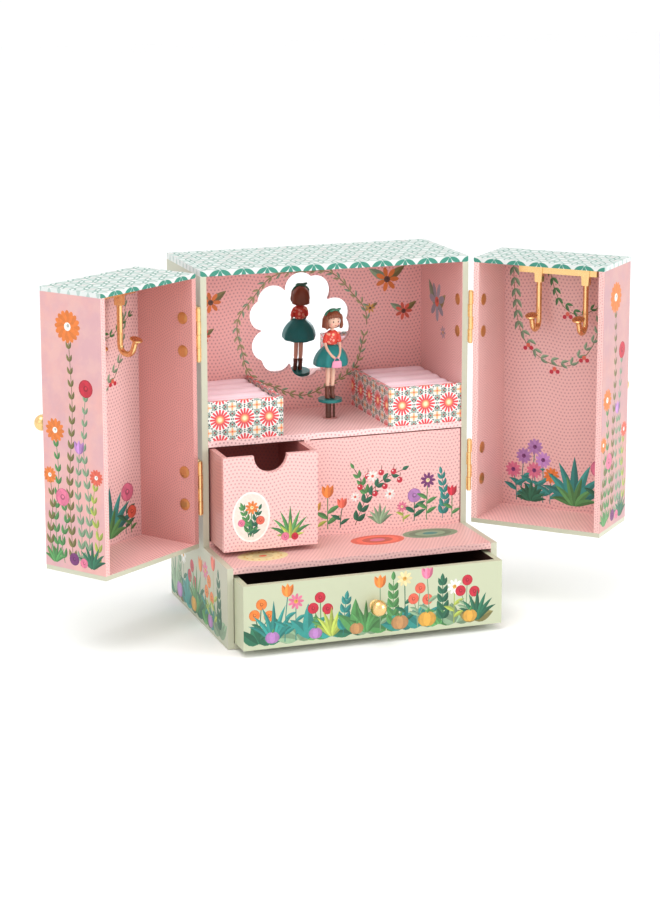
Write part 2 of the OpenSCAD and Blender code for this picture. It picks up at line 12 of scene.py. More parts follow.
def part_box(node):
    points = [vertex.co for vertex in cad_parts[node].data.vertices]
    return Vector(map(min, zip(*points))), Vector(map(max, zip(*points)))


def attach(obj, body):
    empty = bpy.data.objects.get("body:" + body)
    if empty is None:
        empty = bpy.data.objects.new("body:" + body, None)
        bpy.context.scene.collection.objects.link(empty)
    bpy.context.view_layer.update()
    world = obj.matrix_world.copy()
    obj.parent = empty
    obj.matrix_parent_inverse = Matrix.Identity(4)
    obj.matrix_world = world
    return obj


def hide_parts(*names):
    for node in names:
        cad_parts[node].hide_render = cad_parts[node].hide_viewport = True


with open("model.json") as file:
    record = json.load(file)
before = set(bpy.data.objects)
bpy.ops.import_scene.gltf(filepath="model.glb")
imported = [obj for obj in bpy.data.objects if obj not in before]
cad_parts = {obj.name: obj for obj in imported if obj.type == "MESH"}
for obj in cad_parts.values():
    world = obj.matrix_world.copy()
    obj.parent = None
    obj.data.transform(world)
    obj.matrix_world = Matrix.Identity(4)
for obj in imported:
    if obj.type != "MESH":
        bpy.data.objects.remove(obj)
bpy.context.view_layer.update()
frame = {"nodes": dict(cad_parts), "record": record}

mm = 0.001

# ------------ camera, floor and light
# The camera stands a little above the cabinet and to its left. The floor is a plain
# white sheet, lit by a large soft overhead panel and a softer one from each side.
def new_object(name, data):
    made = bpy.data.objects.new(name, data)
    bpy.context.collection.objects.link(made)
    return made


camera = new_object("camera", bpy.data.cameras.new("camera"))
camera.location = (-0.5862, -1.6682, 0.5514)
looking = Vector((0.33238507, 0.92278162, -0.19492112))
camera.rotation_mode = "QUATERNION"
camera.rotation_quaternion = looking.to_track_quat("-Z", "Y")
camera.data.sensor_width, camera.data.lens = 36, 96.184
camera.data.shift_x, camera.data.shift_y = -0.02086, -0.11146
camera.data.clip_start, camera.data.clip_end = 0.05, 20
bpy.context.scene.camera = camera
bpy.context.scene.view_settings.view_transform = "Standard"
bpy.context.scene.view_settings.gamma = 0.90

floor_mesh = bpy.data.meshes.new("studio_floor")
floor_mesh.from_pydata([(-6, -6, 0), (6, -6, 0), (6, 6, 0), (-6, 6, 0)], [], [(0, 1, 2, 3)])
studio_floor = new_object("studio_floor", floor_mesh)
studio_floor.location.z = -0.3 * mm
white_sheet = bpy.data.materials.new("white_sheet")
white_sheet.use_nodes = True
floor_shader = white_sheet.node_tree.nodes["Principled BSDF"]
floor_shader.inputs["Base Color"].default_value = (0.96, 0.96, 0.96, 1)
floor_shader.inputs["Roughness"].default_value = 0.7
floor_mesh.materials.append(white_sheet)

room = bpy.data.worlds.new("room")
bpy.context.scene.world = room
room.use_nodes = True
room.node_tree.nodes["Background"].inputs["Color"].default_value = (1, 1, 1, 1)
room.node_tree.nodes["Background"].inputs["Strength"].default_value = 1.04

for name, place, aim, size, watts in (("overhead_panel", (-0.5, -0.5, 1.9), 0.1, 1.3, 12),
                                      ("left_panel", (-1.9, -1.6, 1.0), 0.15, 1.2, 3),
                                      ("right_panel", (1.9, -1.7, 0.9), 0.15, 1.2, 22)):
    panel = new_object(name, bpy.data.lights.new(name, "AREA"))
    panel.data.shape, panel.data.size, panel.data.energy = "DISK", size, watts
    panel.location = place
    panel.rotation_euler = (Vector((0, 0, aim)) - Vector(place)).to_track_quat("-Z", "Y").to_euler()

# ------------ side boards
# Greyboard 4.5 mm thick, wrapped in printed paper and glued. Cream-green paper turns over
# the front edges; the inside is lined with pink paper printed with arcs of small dots.
body_w, body_h, board = 210 * mm, 268 * mm, 4.5 * mm
in_x = body_w / 2 - board
deck_z, shelf_z = 60.4 * mm, 140.5 * mm
front_y, back_y, cab_y = -75 * mm, 75 * mm, -15 * mm
pink_paper, cream_green, dot_ink = (0.86, 0.54, 0.51), (0.56, 0.56, 0.44), (0.40, 0.17, 0.20)


class Value:
    """A shader node's output. Arithmetic on it adds Math nodes, by the methods set below."""

    def __init__(self, socket):
        self.socket = socket


def feed(value, socket):
    """Links a value to an input, or sets the input to a plain number, vector or colour."""
    if isinstance(value, Value):
        socket.id_data.links.new(value.socket, socket)
    else:
        socket.default_value = (*value, 1) if socket.type == "RGBA" else value


def add_node(kind, near, **settings):
    """Adds a shader node beside the first node value of the list."""
    tree = next(value.socket.id_data for value in near if isinstance(value, Value))
    node = tree.nodes.new("ShaderNode" + kind)
    for key, value in settings.items():
        setattr(node, key, value)
    return node


def plug(node, **inputs):
    """Feeds a node's inputs by name, with _ for a space."""
    for name, value in inputs.items():
        feed(value, node.inputs[name.replace("_", " ")])
    return node


def math_step(operation):
    """A function of node values and numbers that adds a Math node for this operation."""
    def step(*values):
        node = add_node("Math", values, operation=operation)
        for value, socket in zip(values, node.inputs):
            feed(value, socket)
        return Value(node.outputs[0])
    return step


for sign, operation in (("add", "ADD"), ("sub", "SUBTRACT"), ("mul", "MULTIPLY"), ("truediv", "DIVIDE")):
    setattr(Value, f"__{sign}__", math_step(operation))
    setattr(Value, f"__r{sign}__", lambda self, other, step=math_step(operation): step(other, self))
for sign, operation in (("mod", "FLOORED_MODULO"), ("abs", "ABSOLUTE"), ("round", "ROUND"),
                        ("gt", "GREATER_THAN"), ("lt", "LESS_THAN")):
    setattr(Value, f"__{sign}__", math_step(operation))
root, floor, fract = math_step("SQRT"), math_step("FLOOR"), math_step("FRACT")
sine, cosine, arctan2 = math_step("SINE"), math_step("COSINE"), math_step("ARCTAN2")


def length(across, up):
    return root(across * across + up * up)


def off_nearest(value):
    """How far a value is from the nearest whole number."""
    return value - round(value)


def pick(switch, a, b):
    """a where the switch is 0, b where it is 1."""
    return switch * (b - a) + a


def split(vector):
    return [Value(socket) for socket in plug(add_node("SeparateXYZ", [vector]), Vector=vector).outputs]


def turn_round(vector, **inputs):
    """The vector turned round the upright axis, or by Rotation where that is given."""
    kind = "EULER_XYZ" if "Rotation" in inputs else "Z_AXIS"
    node = add_node("VectorRotate", [vector], rotation_type=kind)
    return Value(plug(node, Vector=vector, **inputs).outputs[0])


def blend(amount, under, over, how="MIX"):
    node = add_node("Mix", [amount, under, over], data_type="RGBA", blend_type=how)
    for index, value in ((0, amount), (6, under), (7, over)):
        feed(value, node.inputs[index])
    return Value(node.outputs[2])


def edge(value, middle, soft):
    """0 below the middle, 1 above it, with a soft step."""
    node = add_node("MapRange", [value], interpolation_type="SMOOTHSTEP")
    return Value(plug(node, Value=value, From_Min=middle - soft, From_Max=middle + soft).outputs[0])


def below(value, middle, soft):
    return 1 - edge(value, middle, soft)


def noise(vector, scale, detail=3, rough=0.55):
    node = add_node("TexNoise", [vector])
    return Value(plug(node, Vector=vector, Scale=scale, Detail=detail, Roughness=rough).outputs[0])


def bumped(height, strength, deep):
    """The normals of a surface with these heights."""
    node = add_node("Bump", [height])
    return Value(plug(node, Height=height, Strength=strength, Distance=deep).outputs[0])


def new_effect(name, inputs, outputs):
    """A new shader node group: the group, its inputs as values, and its output node."""
    group = bpy.data.node_groups.new(name, "ShaderNodeTree")
    kinds = {"Place": "Vector", "Facing": "Vector", "Colour": "Color"}
    for way, labels in (("INPUT", inputs), ("OUTPUT", outputs)):
        for label in labels:
            kind = "NodeSocket" + kinds.get(label, "Float")
            group.interface.new_socket(label, in_out=way, socket_type=kind)
    given = group.nodes.new("NodeGroupInput").outputs
    return group, *(Value(given[label]) for label in inputs), group.nodes.new("NodeGroupOutput")


def use(group, **inputs):
    """A group's outputs, by name."""
    node = add_node("Group", inputs.values(), node_tree=group)
    return {socket.name: Value(socket) for socket in plug(node, **inputs).outputs}


# where a point lies on the flat of its board, in millimetres, whichever way the board faces
face_plan, place, facing, out = new_effect("face_plan", ["Place", "Facing"], ["Across", "Up"])
x, y, z = split(place)
nx, ny, nz = split(facing)
plug(out, Across=pick(abs(nx) > 0.7, x, y) * 1000, Up=pick(abs(nz) > 0.7, z, y) * 1000)

# fine tooth of coated paper: a little mottling of tone, and fibres for the bump
paper_tooth, place, out = new_effect("paper_tooth", ["Place"], ["Tone", "Height"])
mottle = noise(place, 60, 4)
plug(out, Tone=mottle * 0.10 + (noise(place, 14, 2) * 0.10 + 0.90),
     Height=mottle * 0.6 + noise(place, 2600, 2))

# arcs of dots, row over row like fish scales: pitch is the width of one scale
dotted_waves, across, up, pitch, out = new_effect("dotted_waves", ["Across", "Up", "Pitch"], ["Dots"])
row_at = up / (pitch * 0.25)
scales = []
for lower in (0, 1):
    row = floor(row_at) - lower
    du, dv = fract(across / pitch + row % 2 * 0.5) - 0.5, (row_at - row) * 0.25
    far = length(du, dv)
    ring = far * (pitch / 1.9)
    along_off = off_nearest(arctan2(du, dv) / pi * (round(ring) * 3.0))
    inside = far < 0.5
    scales.append((below(length(off_nearest(ring), along_off), 0.30, 0.12) * inside, inside))
# a lower scale covers the one behind it
plug(out, Dots=pick(scales[0][1], scales[1][0], scales[0][0]))

# round dots in staggered rows that wander a little
dotted_rows, across, up, pitch, size, out = new_effect(
    "dotted_rows", ["Across", "Up", "Pitch", "Size"], ["Dots"])
row_at = (up + sine(across * 0.16) * 1.1) / (pitch * 0.866)
row = round(row_at)
far = length(off_nearest(row % 2 * 0.5 + across / pitch), (row_at - row) * 0.866)
plug(out, Dots=below(far / size, 1, 0.35))

# six-petalled flowers touching at their tips, every 18 mm in staggered rows; each petal is
# the lens where two circles overlap. Petals is the filled shape, Rim its outline.
petal_lattice, across, up, reach, out = new_effect(
    "petal_lattice", ["Across", "Up", "Reach"], ["Petals", "Rim"])
spots = []
for shift in (0.0, 0.5):
    du = off_nearest(across / (reach * sqrt(3)) + shift) * sqrt(3)
    dv = off_nearest(up / (reach * 3.0) + shift) * 3.0
    spots.append((length(du, dv), arctan2(dv, du)))
second = spots[1][0] < spots[0][0]
far, angle = (pick(second, spots[0][k], spots[1][k]) for k in (0, 1))
angle = angle % (pi / 3) - pi / 6
along = far * cosine(angle) - 0.5
bulge = root(1 - along * along) - sqrt(0.75)
inner = bulge * 1.5 - 0.028 - far * abs(sine(angle))
plug(out, Petals=edge(inner, 0, 0.012), Rim=below(abs(inner), 0.062, 0.022))

door_turn = {"left": (Vector((-107.05 * mm, -15.4 * mm, 0)), radians(145)),
             "right": (Vector((107.05 * mm, -15.4 * mm, 0)), -radians(134))}


def new_finish(name):
    """A new material, its shader, and the place and facing of each point as built."""
    made = bpy.data.materials.new(name)
    made.use_nodes = True
    here = made.node_tree.nodes.new("ShaderNodeTexCoord").outputs
    return made, made.node_tree.nodes["Principled BSDF"], Value(here["Object"]), Value(here["Normal"])


def start_paper(name, door=None):
    """A new paper, and the place and facing of each point as if the door were shut."""
    paper, _, place, facing = new_finish(name)
    if door:
        pin, angle = door_turn[door]
        place, facing = turn_round(place, Center=pin, Angle=angle), turn_round(facing, Angle=angle)
    return paper, place, facing


def finish_paper(paper, place, colour, gloss=0.42, coat=0.12):
    """Mottles the colour a little, and gives the paper its tooth and its light varnish."""
    tooth = use(paper_tooth, Place=place)
    toned = blend(1.0, colour, blend(tooth["Tone"], (0, 0, 0), (1, 1, 1)), "MULTIPLY")
    plug(paper.node_tree.nodes["Principled BSDF"], Base_Color=toned,
         Normal=bumped(tooth["Height"], 0.10, 0.2 * mm), Roughness=tooth["Tone"] * 0.2 + (gloss - 0.2),
         Coat_Weight=coat, Coat_Roughness=0.28)
    return paper


wave_pitch, dot_pitch, dot_size = 56.0, 3.0, 0.23


def lined(place, facing, ground, pattern="waves"):
    """Lining paper with its printed dots, in arcs or in wandering rows."""
    plan = use(face_plan, Place=place, Facing=facing)
    if pattern == "waves":
        return blend(use(dotted_waves, **plan, Pitch=wave_pitch)["Dots"] * 0.42, ground, dot_ink)
    return blend(use(dotted_rows, **plan, Pitch=dot_pitch, Size=dot_size)["Dots"] * 0.58, ground, dot_ink)


def dress(node, paper):
    """Gives a CAD piece its paper, metal or paint."""
    made = frame["nodes"][node]
    made.data.materials.clear()
    made.data.materials.append(paper)


def cover(node, pink, pattern="rows", door=None):
    """Covers a CAD board with dotted paper all round."""
    paper, place, facing = start_paper("paper_" + node, door)
    dress(node, finish_paper(paper, place, lined(place, facing, pink, pattern)))


for node in ("left_side", "right_side"):
    paper, place, facing = start_paper("paper_" + node)
    inward = split(place)[0] * split(facing)[0] < -0.01
    lining = lined(place, facing, pink_paper)
    dress(node, finish_paper(paper, place, blend(inward, cream_green, lining)))

# ------------ floor, deck, shelf and divider
# Boards glued between the sides. The bottom board is cream-green and stands a little proud
# under the drawer; the deck, shelf, divider and dummy front are wrapped in pink dotted paper.
paper, place, facing = start_paper("paper_bottom_board")
dress("bottom_board", finish_paper(paper, place, cream_green))
deck_pink = (0.79, 0.51, 0.48)
for node, pink in (("deck_board", deck_pink), ("shelf_board", (0.95, 0.68, 0.66)), ("divider", pink_paper),
                   ("fixed_panel", pink_paper), ("drawer_sill", pink_paper)):
    cover(node, pink)

# ------------ lid board
# Printed with overlapping circles: green petals on white. On the top they are painted pale inside
# grey-green rims, a painted sheen; where the paper turns down over the front edge they keep their deeper
# green. The underside is pink like the walls.
petal_reach = 18.0 / sqrt(3)
petal_white, petal_green, petal_grey = (0.68, 0.72, 0.70), (0.05, 0.27, 0.20), (0.07, 0.25, 0.19)


def lid_paper(name, high_z, door=None, centre=0.0, front=cab_y):
    paper, place, facing = start_paper(name, door)
    x, y, z = split(place)
    nx, _, nz = split(facing)
    top, side, under = nz > 0.5, abs(nx) > 0.7, nz < -0.5
    back = (y - front) * 1000
    # along the side edges only the tips of a row of petals show, as short dashes
    print_on = use(petal_lattice, Across=pick(side, (x - centre) * 1000, back),
                   Up=pick(top, (z - high_z) * 1000, back) - side * 5.6, Reach=petal_reach)
    blush = edge(noise(place, 120, 1), 0.5, 0.1) * 0.30
    ground = blend(blush * top, petal_white, (0.62, 0.42, 0.42))
    # painted sheen: on the top the petals are filled with the pale white, as if washed out by the light on
    # the varnish
    top_sheen_print = blend(print_on["Petals"] * 0.75, ground, petal_white)
    top_sheen_print = blend(print_on["Rim"] * 0.80, top_sheen_print, petal_grey)
    faint = print_on["Petals"] * (side * -0.65 + 1.0)
    printed = blend(top, blend(faint, ground, petal_green), top_sheen_print)
    lining = lined(place, facing, pink_paper)
    return finish_paper(paper, place, blend(under, printed, lining), gloss=0.50, coat=0.10)


dress("top_board", lid_paper("paper_top_board", body_h))

# ------------ back board
# One thin board glued between the sides, cream-green outside, with the winding hole.
paper, place, facing = start_paper("paper_back_board")
inward = split(facing)[1] < -0.5
dress("back_board", finish_paper(paper, place, blend(inward, cream_green, lined(place, facing, pink_paper))))

# ------------ mirror and its liner
# A silvered plastic sheet behind a thin card liner with a blossom cut through it. The
# liner carries a printed leafy wreath round the opening and rows of dots.
silver, shader, place, _ = new_finish("silver_mirror")
haze = noise(place, 90, 3)
# the thin sheet is bowed in its frame, so it shows the doll a little higher than a flat one; it is drawn
# flat, and only its shading normal is tipped
flat = Value(silver.node_tree.nodes.new("ShaderNodeNewGeometry").outputs["Normal"])
bow = (radians(3.8), 0, radians(-1.6))
plug(shader, Base_Color=blend(haze, (0.86, 0.88, 0.89), (0.93, 0.95, 0.96)), Metallic=1.0,
     Roughness=haze * 0.03 + 0.015, Normal=turn_round(flat, Rotation=bow))
dress("mirror_sheet", silver)
liner_pink = (0.86, 0.50, 0.475)
cover("mirror_liner", liner_pink)

# ------------ ring trays
# Thin board fronts and inner sides, wrapped in paper printed with a tile pattern: red
# sixteen-rayed stars in a square lattice, with small sage flowers and black beads between.
tile_pitch, tile_foot = 19.0, 156.0
tile_print, across, up, pitch, out = new_effect("tile_print", ["Across", "Up", "Pitch"], ["Colour"])


def from_nearest(shift_u, shift_v):
    """Distance and angle from the nearest point of the square lattice."""
    du, dv = off_nearest(across / pitch - shift_u), off_nearest(up / pitch - shift_v)
    return length(du, dv), arctan2(dv, du)


far, angle = from_nearest(0.0, 0.0)
colour = (0.76, 0.78, 0.73)
# small eight-petalled sage flowers round each star, outlined in black, with dark red hearts
for shift_u, shift_v in ((0.5, 0.22), (0.5, -0.22), (0.22, 0.5), (-0.22, 0.5)):
    flower_far, flower_angle = from_nearest(shift_u, shift_v)
    past_petal = flower_far - (cosine(flower_angle * 8) * 0.026 + 0.098)
    for off, rim, soft, ink in ((past_petal, 0.022, 0.01, (0.03, 0.045, 0.05)),
                                (past_petal, 0, 0.01, (0.36, 0.50, 0.42)),
                                (flower_far, 0.038, 0.008, (0.38, 0.03, 0.05))):
        colour = blend(below(off, rim, soft), colour, ink)
# peach pinwheels in the middle of four stars
wheel_far, wheel_angle = from_nearest(0.5, 0.5)
past_wheel = wheel_far - (cosine(wheel_angle * 4) * 0.05 + 0.11)
colour = blend(below(past_wheel, 0, 0.01), colour, (0.85, 0.50, 0.25))
colour = blend(below(wheel_far, 0.04, 0.01), colour, (0.80, 0.16, 0.12))
# black beads on a ring round each star
bead = length(far - 0.462, off_nearest(angle * 16 / (2 * pi)) * 0.181)
colour = blend(below(bead, 0.030, 0.008), colour, (0.03, 0.04, 0.05))
# the star: a white round, red rays, a glowing yellow middle
colour = blend(below(far, 0.425, 0.01), colour, (0.88, 0.88, 0.85))
rays = cosine(angle * 16) + ((far - 0.20) / 0.21 * -1.05 + 1.05)
colour = blend(edge(rays, 0, 0.15) * below(far, 0.405, 0.01), colour, (0.72, 0.075, 0.09))
colour = blend(below(far, 0.15, 0.06), colour, (0.95, 0.42, 0.20))
plug(out, Colour=blend(below(far, 0.085, 0.05), colour, (1.0, 0.88, 0.55)))

for node, start_u in (("left_tray_front", -91.0), ("left_tray_side", -8.5),
                      ("right_tray_front", 52.5), ("right_tray_side", -8.5)):
    paper, place, facing = start_paper("tile_paper_" + node)
    plan = use(face_plan, Place=place, Facing=facing)
    tiles = use(tile_print, Across=plan["Across"] - start_u, Up=plan["Up"] - tile_foot, Pitch=tile_pitch)
    dress(node, finish_paper(paper, place, tiles["Colour"]))

# ------------ printed sheets
# Printed paper laid over a board's face, 0.12 mm thick. Flowers, leaves and rugs are
# printed on it in flat inks; each is an outline in the sheet, with its ink on its faces.
sheet_t = 0.12 * mm
leaf_green, deep_green, lime = (0.10, 0.30, 0.10), (0.03, 0.16, 0.09), (0.42, 0.50, 0.10)
olive, sage, teal_ink = (0.22, 0.20, 0.07), (0.25, 0.38, 0.24), (0.04, 0.28, 0.25)
orange, coral, red_ink = (0.85, 0.25, 0.05), (0.80, 0.16, 0.10), (0.60, 0.03, 0.06)
rose, plum, mauve = (0.80, 0.22, 0.35), (0.22, 0.05, 0.20), (0.50, 0.25, 0.55)
ochre, straw, chalk = (0.75, 0.42, 0.08), (0.88, 0.76, 0.42), (0.93, 0.92, 0.88)
brown, tan_ink = (0.14, 0.06, 0.04), (0.55, 0.30, 0.13)


def tinted(ink, amount):
    return tuple(min(1.0, c * amount) for c in ink)


def off_point(x, y, far, angle):
    return x + far * cos(angle), y + far * sin(angle)


def around(x, y, rx, ry=None, count=18, turn=0.0):
    """An oval's outline."""
    ry = ry or rx
    c, s = cos(turn), sin(turn)
    rim = [(rx * cos(a), ry * sin(a)) for a in (2 * pi * i / count for i in range(count))]
    return [(x + a * c - b * s, y + a * s + b * c) for a, b in rim]


def leaf(x, y, long, wide, turn, ink, bend=0.0):
    """A pointed leaf from its foot, in two tones either side of the midrib."""
    rib, left, right = [], [], []
    for t in (i / 6 for i in range(7)):
        a = turn + bend * t
        rib_x, rib_y = off_point(x, y, long * t, a)
        half = wide / 2 * sin(pi * t ** 0.8) ** 0.9
        rib.append((rib_x, rib_y))
        left.append((rib_x - sin(a) * half, rib_y + cos(a) * half))
        right.append((rib_x + sin(a) * half, rib_y - cos(a) * half))
    return [(rib + left[5:0:-1], tinted(ink, 1.25)), (rib + right[5:0:-1], tinted(ink, 0.85))]


def stalk(points, wide, ink):
    """A thin ribbon along a smooth line through the points."""
    line = []
    for i in range(len(points) - 1):
        near = points[max(i - 1, 0)], points[i], points[i + 1], points[min(i + 2, len(points) - 1)]
        for t in (k / 5 for k in range(5)):
            line.append(tuple(0.5 * (2 * b + (c - a) * t + (2 * a - 5 * b + 4 * c - d) * t * t
                                     + (3 * b - a - 3 * c + d) * t ** 3) for a, b, c, d in zip(*near)))
    line.append(points[-1])
    left, right = [], []
    for i, (x, y) in enumerate(line):
        a, b = line[max(i - 1, 0)], line[min(i + 1, len(line) - 1)]
        run = dist(a, b) or 1
        nx, ny = -(b[1] - a[1]) / run * wide / 2, (b[0] - a[0]) / run * wide / 2
        left.append((x + nx, y + ny))
        right.append((x - nx, y - ny))
    return [(left + right[::-1], ink)]


def daisy(x, y, r, ink, heart, petals=9, turn=0.0):
    made = []
    for i in range(petals):
        a = turn + 2 * pi * i / petals
        petal = around(*off_point(x, y, 0.62 * r, a), 0.42 * r, 0.20 * r, 10, a)
        made.append((petal, tinted(ink, 1.0 if i % 2 else 0.88)))
    made.append((around(x, y, 0.27 * r, count=12), heart))
    made.append((around(x + 0.05 * r, y + 0.06 * r, 0.11 * r, count=8), tinted(heart, 0.55)))
    return made


def tulip(x, y, r, ink, sunk=0):
    """Three petals, set this far below the stalk's top."""
    made = []
    for lean, tone in ((-0.42, 0.8), (0.42, 0.9), (0.0, 1.15)):
        petal = leaf(x, y - sunk, 2.1 * r, 0.95 * r, pi / 2 + lean, ink)
        made += [(rim, tinted(half_ink, tone)) for rim, half_ink in petal]
    return made


def rose_bloom(x, y, r, ink):
    made = [(around(x, y, r, count=16), tinted(ink, 0.75))]
    for i in range(5):
        a = 2 * pi * i / 5 + 0.3
        petal = around(*off_point(x, y, 0.5 * r, a), 0.55 * r, 0.42 * r, 12, a + 1.2)
        made.append((petal, tinted(ink, 0.95 + 0.12 * (i % 2))))
    made.append((around(x, y, 0.34 * r, count=10), tinted(ink, 0.6)))
    made.append((around(x + 0.04 * r, y + 0.05 * r, 0.17 * r, count=8), tinted(ink, 1.2)))
    return made


def sprig(points, ink, long, wide, stem_ink=None, spread=0.75, gap=None, tip=True):
    """A stalk with leaves in pairs along it."""
    made = stalk(points, 0.55, stem_ink or tinted(ink, 0.8))
    run = [dist(a, b) for a, b in zip(points, points[1:])]
    total, at = sum(run), long * 0.4
    while at < total - long * 0.2:
        left_over, i = at, 0
        while left_over > run[i]:
            left_over -= run[i]
            i += 1
        t = left_over / run[i]
        a, b = points[i], points[i + 1]
        here = (a[0] + (b[0] - a[0]) * t, a[1] + (b[1] - a[1]) * t)
        way = atan2(b[1] - a[1], b[0] - a[0])
        size = 1.0 - 0.35 * at / total
        for s, tone in ((-1, 0.8), (1, 1.0)):
            made += leaf(*here, long * size, wide * size, way + s * spread, tinted(ink, tone), -0.25 * s)
        at += gap or long * 0.62
    if tip:
        a, b = points[-2], points[-1]
        made += leaf(*b, long * 0.7, wide * 0.7, atan2(b[1] - a[1], b[0] - a[0]), ink)
    return made


def tuft(x, y, high, ink, blades=7, spread=0.9, wide=1.7):
    """Blades of grass from one foot."""
    made = []
    for i in range(blades):
        t = (i / (blades - 1) - 0.5) * 2
        made += leaf(x + t * high * 0.05, y, high * (1 - 0.28 * abs(t)), wide, pi / 2 - t * spread * 0.5,
                     tinted(ink, 0.8 + 0.4 * ((i * 5) % 3) / 2), -t * 0.45)
    return made


def flowers(foot, *rows):
    """Flowers on leafy stalks; a row ends with its head's function and what that takes."""
    made = []
    for x, high, lean, ink, leaves, leaf_long, head, *look in rows:
        top = (x + lean, foot + high)
        made += stalk([(x, foot), (x + lean * 0.25, foot + high * 0.5), top], 0.7, tinted(ink, 0.9))
        for i in range(leaves):
            t, s = 0.15 + 0.5 * i / leaves, 1 if i % 2 else -1
            made += leaf(x + lean * t * t, foot + high * t, leaf_long, leaf_long * 0.33,
                         pi / 2 + s * 0.75, ink, s * 0.3)
        made += head(*top, *look)
    return made


def ovals(x, y, *rings):
    """Ovals round one point: half length, half height, corners and ink of each."""
    return [(around(x, y, rx, ry, count), ink) for rx, ry, count, ink in rings]


body_of_node = {n: body for body, nodes in frame["record"]["behaviour"]["bodies"].items() for n in nodes}


def printed_sheet(name, node, corner, along, upward, outline, shapes, paper, door=None, holes=()):
    """A sheet of printed paper on a face, from its corner along two directions, doors shut.
    The outline and the printed shapes are in millimetres from that corner."""
    corner, along, upward = Vector(corner), Vector(along), Vector(upward)
    outward = along.cross(upward).normalized()
    points, loops = [], []
    for rim in [outline, *holes, *(rim for rim, ink in shapes)]:
        loops.append(list(range(len(points), len(points) + len(rim))))
        points.extend(Vector(p) for p in rim)
    flat, _, faces, _, _, _ = delaunay_2d_cdt(points, [], loops, 0, 0.002)
    corners = np.array([tuple(p) for p in flat])
    middles = np.array([corners[f].mean(axis=0) for f in faces])

    def within(rim):
        """Which triangles' middles lie inside this outline."""
        rim = np.array(rim)
        near = np.flatnonzero(((middles >= rim.min(axis=0)) & (middles <= rim.max(axis=0))).all(axis=1))
        inside = np.zeros(len(near), dtype=bool)
        x, y = middles[near].T
        for a, b in zip(rim, np.roll(rim, -1, axis=0)):
            if a[1] != b[1]:
                crossing = a[0] + (y - a[1]) * (b[0] - a[0]) / (b[1] - a[1])
                inside ^= ((a[1] > y) != (b[1] > y)) & (x < crossing)
        return near[inside]

    shown = np.zeros(len(faces), dtype=bool)
    shown[within(outline)] = True
    for rim in holes:
        shown[within(rim)] = False
    top_ink = np.full(len(faces), -1)
    for k, (rim, ink) in enumerate(shapes):
        top_ink[within(rim)] = k
    kept = np.flatnonzero(shown)
    used = sorted({i for k in kept for i in faces[k]})
    number = {i: n for n, i in enumerate(used)}
    count = len(used)
    spots = [corner + along * (flat[i][0] * mm) + upward * (flat[i][1] * mm) for i in used]
    verts = [p + outward * sheet_t for p in spots] + spots
    front = [[number[i] for i in faces[k]] for k in kept]
    back = [[i + count for i in reversed(f)] for f in front]
    # an edge with a face on one side only is part of the rim
    rims = {}
    for f in front:
        for a, b in zip(f, f[1:] + f[:1]):
            if (b, a) in rims:
                del rims[(b, a)]
            else:
                rims[(a, b)] = True
    walls = [[a, a + count, b + count, b] for a, b in rims]
    if door:
        pin, angle = door_turn[door]
        swing = Matrix.Translation(pin) @ Matrix.Rotation(-angle, 4, "Z") @ Matrix.Translation(-pin)
        verts = [swing @ v for v in verts]
    mesh = bpy.data.meshes.new(name)
    mesh.from_pydata([tuple(v) for v in verts], [], front + back + walls)
    colours = []
    for k in kept:
        colours += [(*shapes[top_ink[k]][1], 1.0) if top_ink[k] >= 0 else (0, 0, 0, 0)] * len(faces[k])
    colours += [(0, 0, 0, 0)] * (sum(len(f) for f in back) + 4 * len(walls))
    inked = mesh.attributes.new("ink", "FLOAT_COLOR", "CORNER")
    inked.data.foreach_set("color", [c for colour in colours for c in colour])
    mesh.materials.append(paper)
    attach(new_object(name, mesh), body_of_node[node])


def inked_paper(name, ground=None, door=None, gloss=0.42, pattern="waves", pink=pink_paper, washes=()):
    """Paper with the printed inks over its ground; the inks are laid a little unevenly."""
    paper, place, facing = start_paper(name, door)
    under = ground or lined(place, facing, pink, pattern)
    for scale, middle, strength, colour in washes:
        under = blend(edge(noise(place, scale, 4, 0.6), middle, 0.12) * strength, under, colour)
    ink = add_node("Attribute", [place], attribute_name="ink", attribute_type="GEOMETRY").outputs
    wash = blend(noise(place, 420, 3) * 0.9 - 0.2, (0.78, 0.78, 0.78), (1.12, 1.12, 1.10))
    laid = blend(1.0, Value(ink["Color"]), wash, "MULTIPLY")
    return finish_paper(paper, place, blend(Value(ink["Alpha"]), under, laid), gloss=gloss)


def box_outline(wide, high):
    return [(0, 0), (wide, 0), (wide, high), (0, high)]

# ------------ hinges and rivets
# Pressed brass leaves folded round a steel-cored pin, held by brass rivets whose flat
# heads show inside. Lacquered, with fine brushing and darker brown in the low places.
metal_grain, place, stretch, out = new_effect("metal_grain", ["Place", "Stretch"], ["Tone", "Height"])
x, y, z = split(place)
lengthened = plug(add_node("CombineXYZ", [place]), X=x, Y=y, Z=z * stretch)
scratches = noise(Value(lengthened.outputs[0]), 900, 3)
plug(out, Tone=noise(place, 130, 4) * 0.5 + scratches * 0.5, Height=scratches)


def metal(name, bright, dark, polish, stretch=0.1):
    made, shader, place, _ = new_finish(name)
    grain = use(metal_grain, Place=place, Stretch=stretch)
    plug(shader, Metallic=1.0, Base_Color=blend(grain["Tone"], dark, bright),
         Roughness=grain["Tone"] * 0.14 + polish, Normal=bumped(grain["Height"], 0.08, 0.1 * mm))
    return made


brass = metal("lacquered_brass", (0.99, 0.74, 0.38), (0.76, 0.47, 0.20), 0.20)
old_brass = metal("rivet_brass", (0.92, 0.62, 0.28), (0.56, 0.31, 0.12), 0.36)
for node in ("cabinet_hinge_leaves", "hinge_pins", "left_door_leaves", "right_door_leaves"):
    dress(node, brass)
for node in ("cabinet_rivets", "left_door_rivets", "right_door_rivets"):
    dress(node, old_brass)

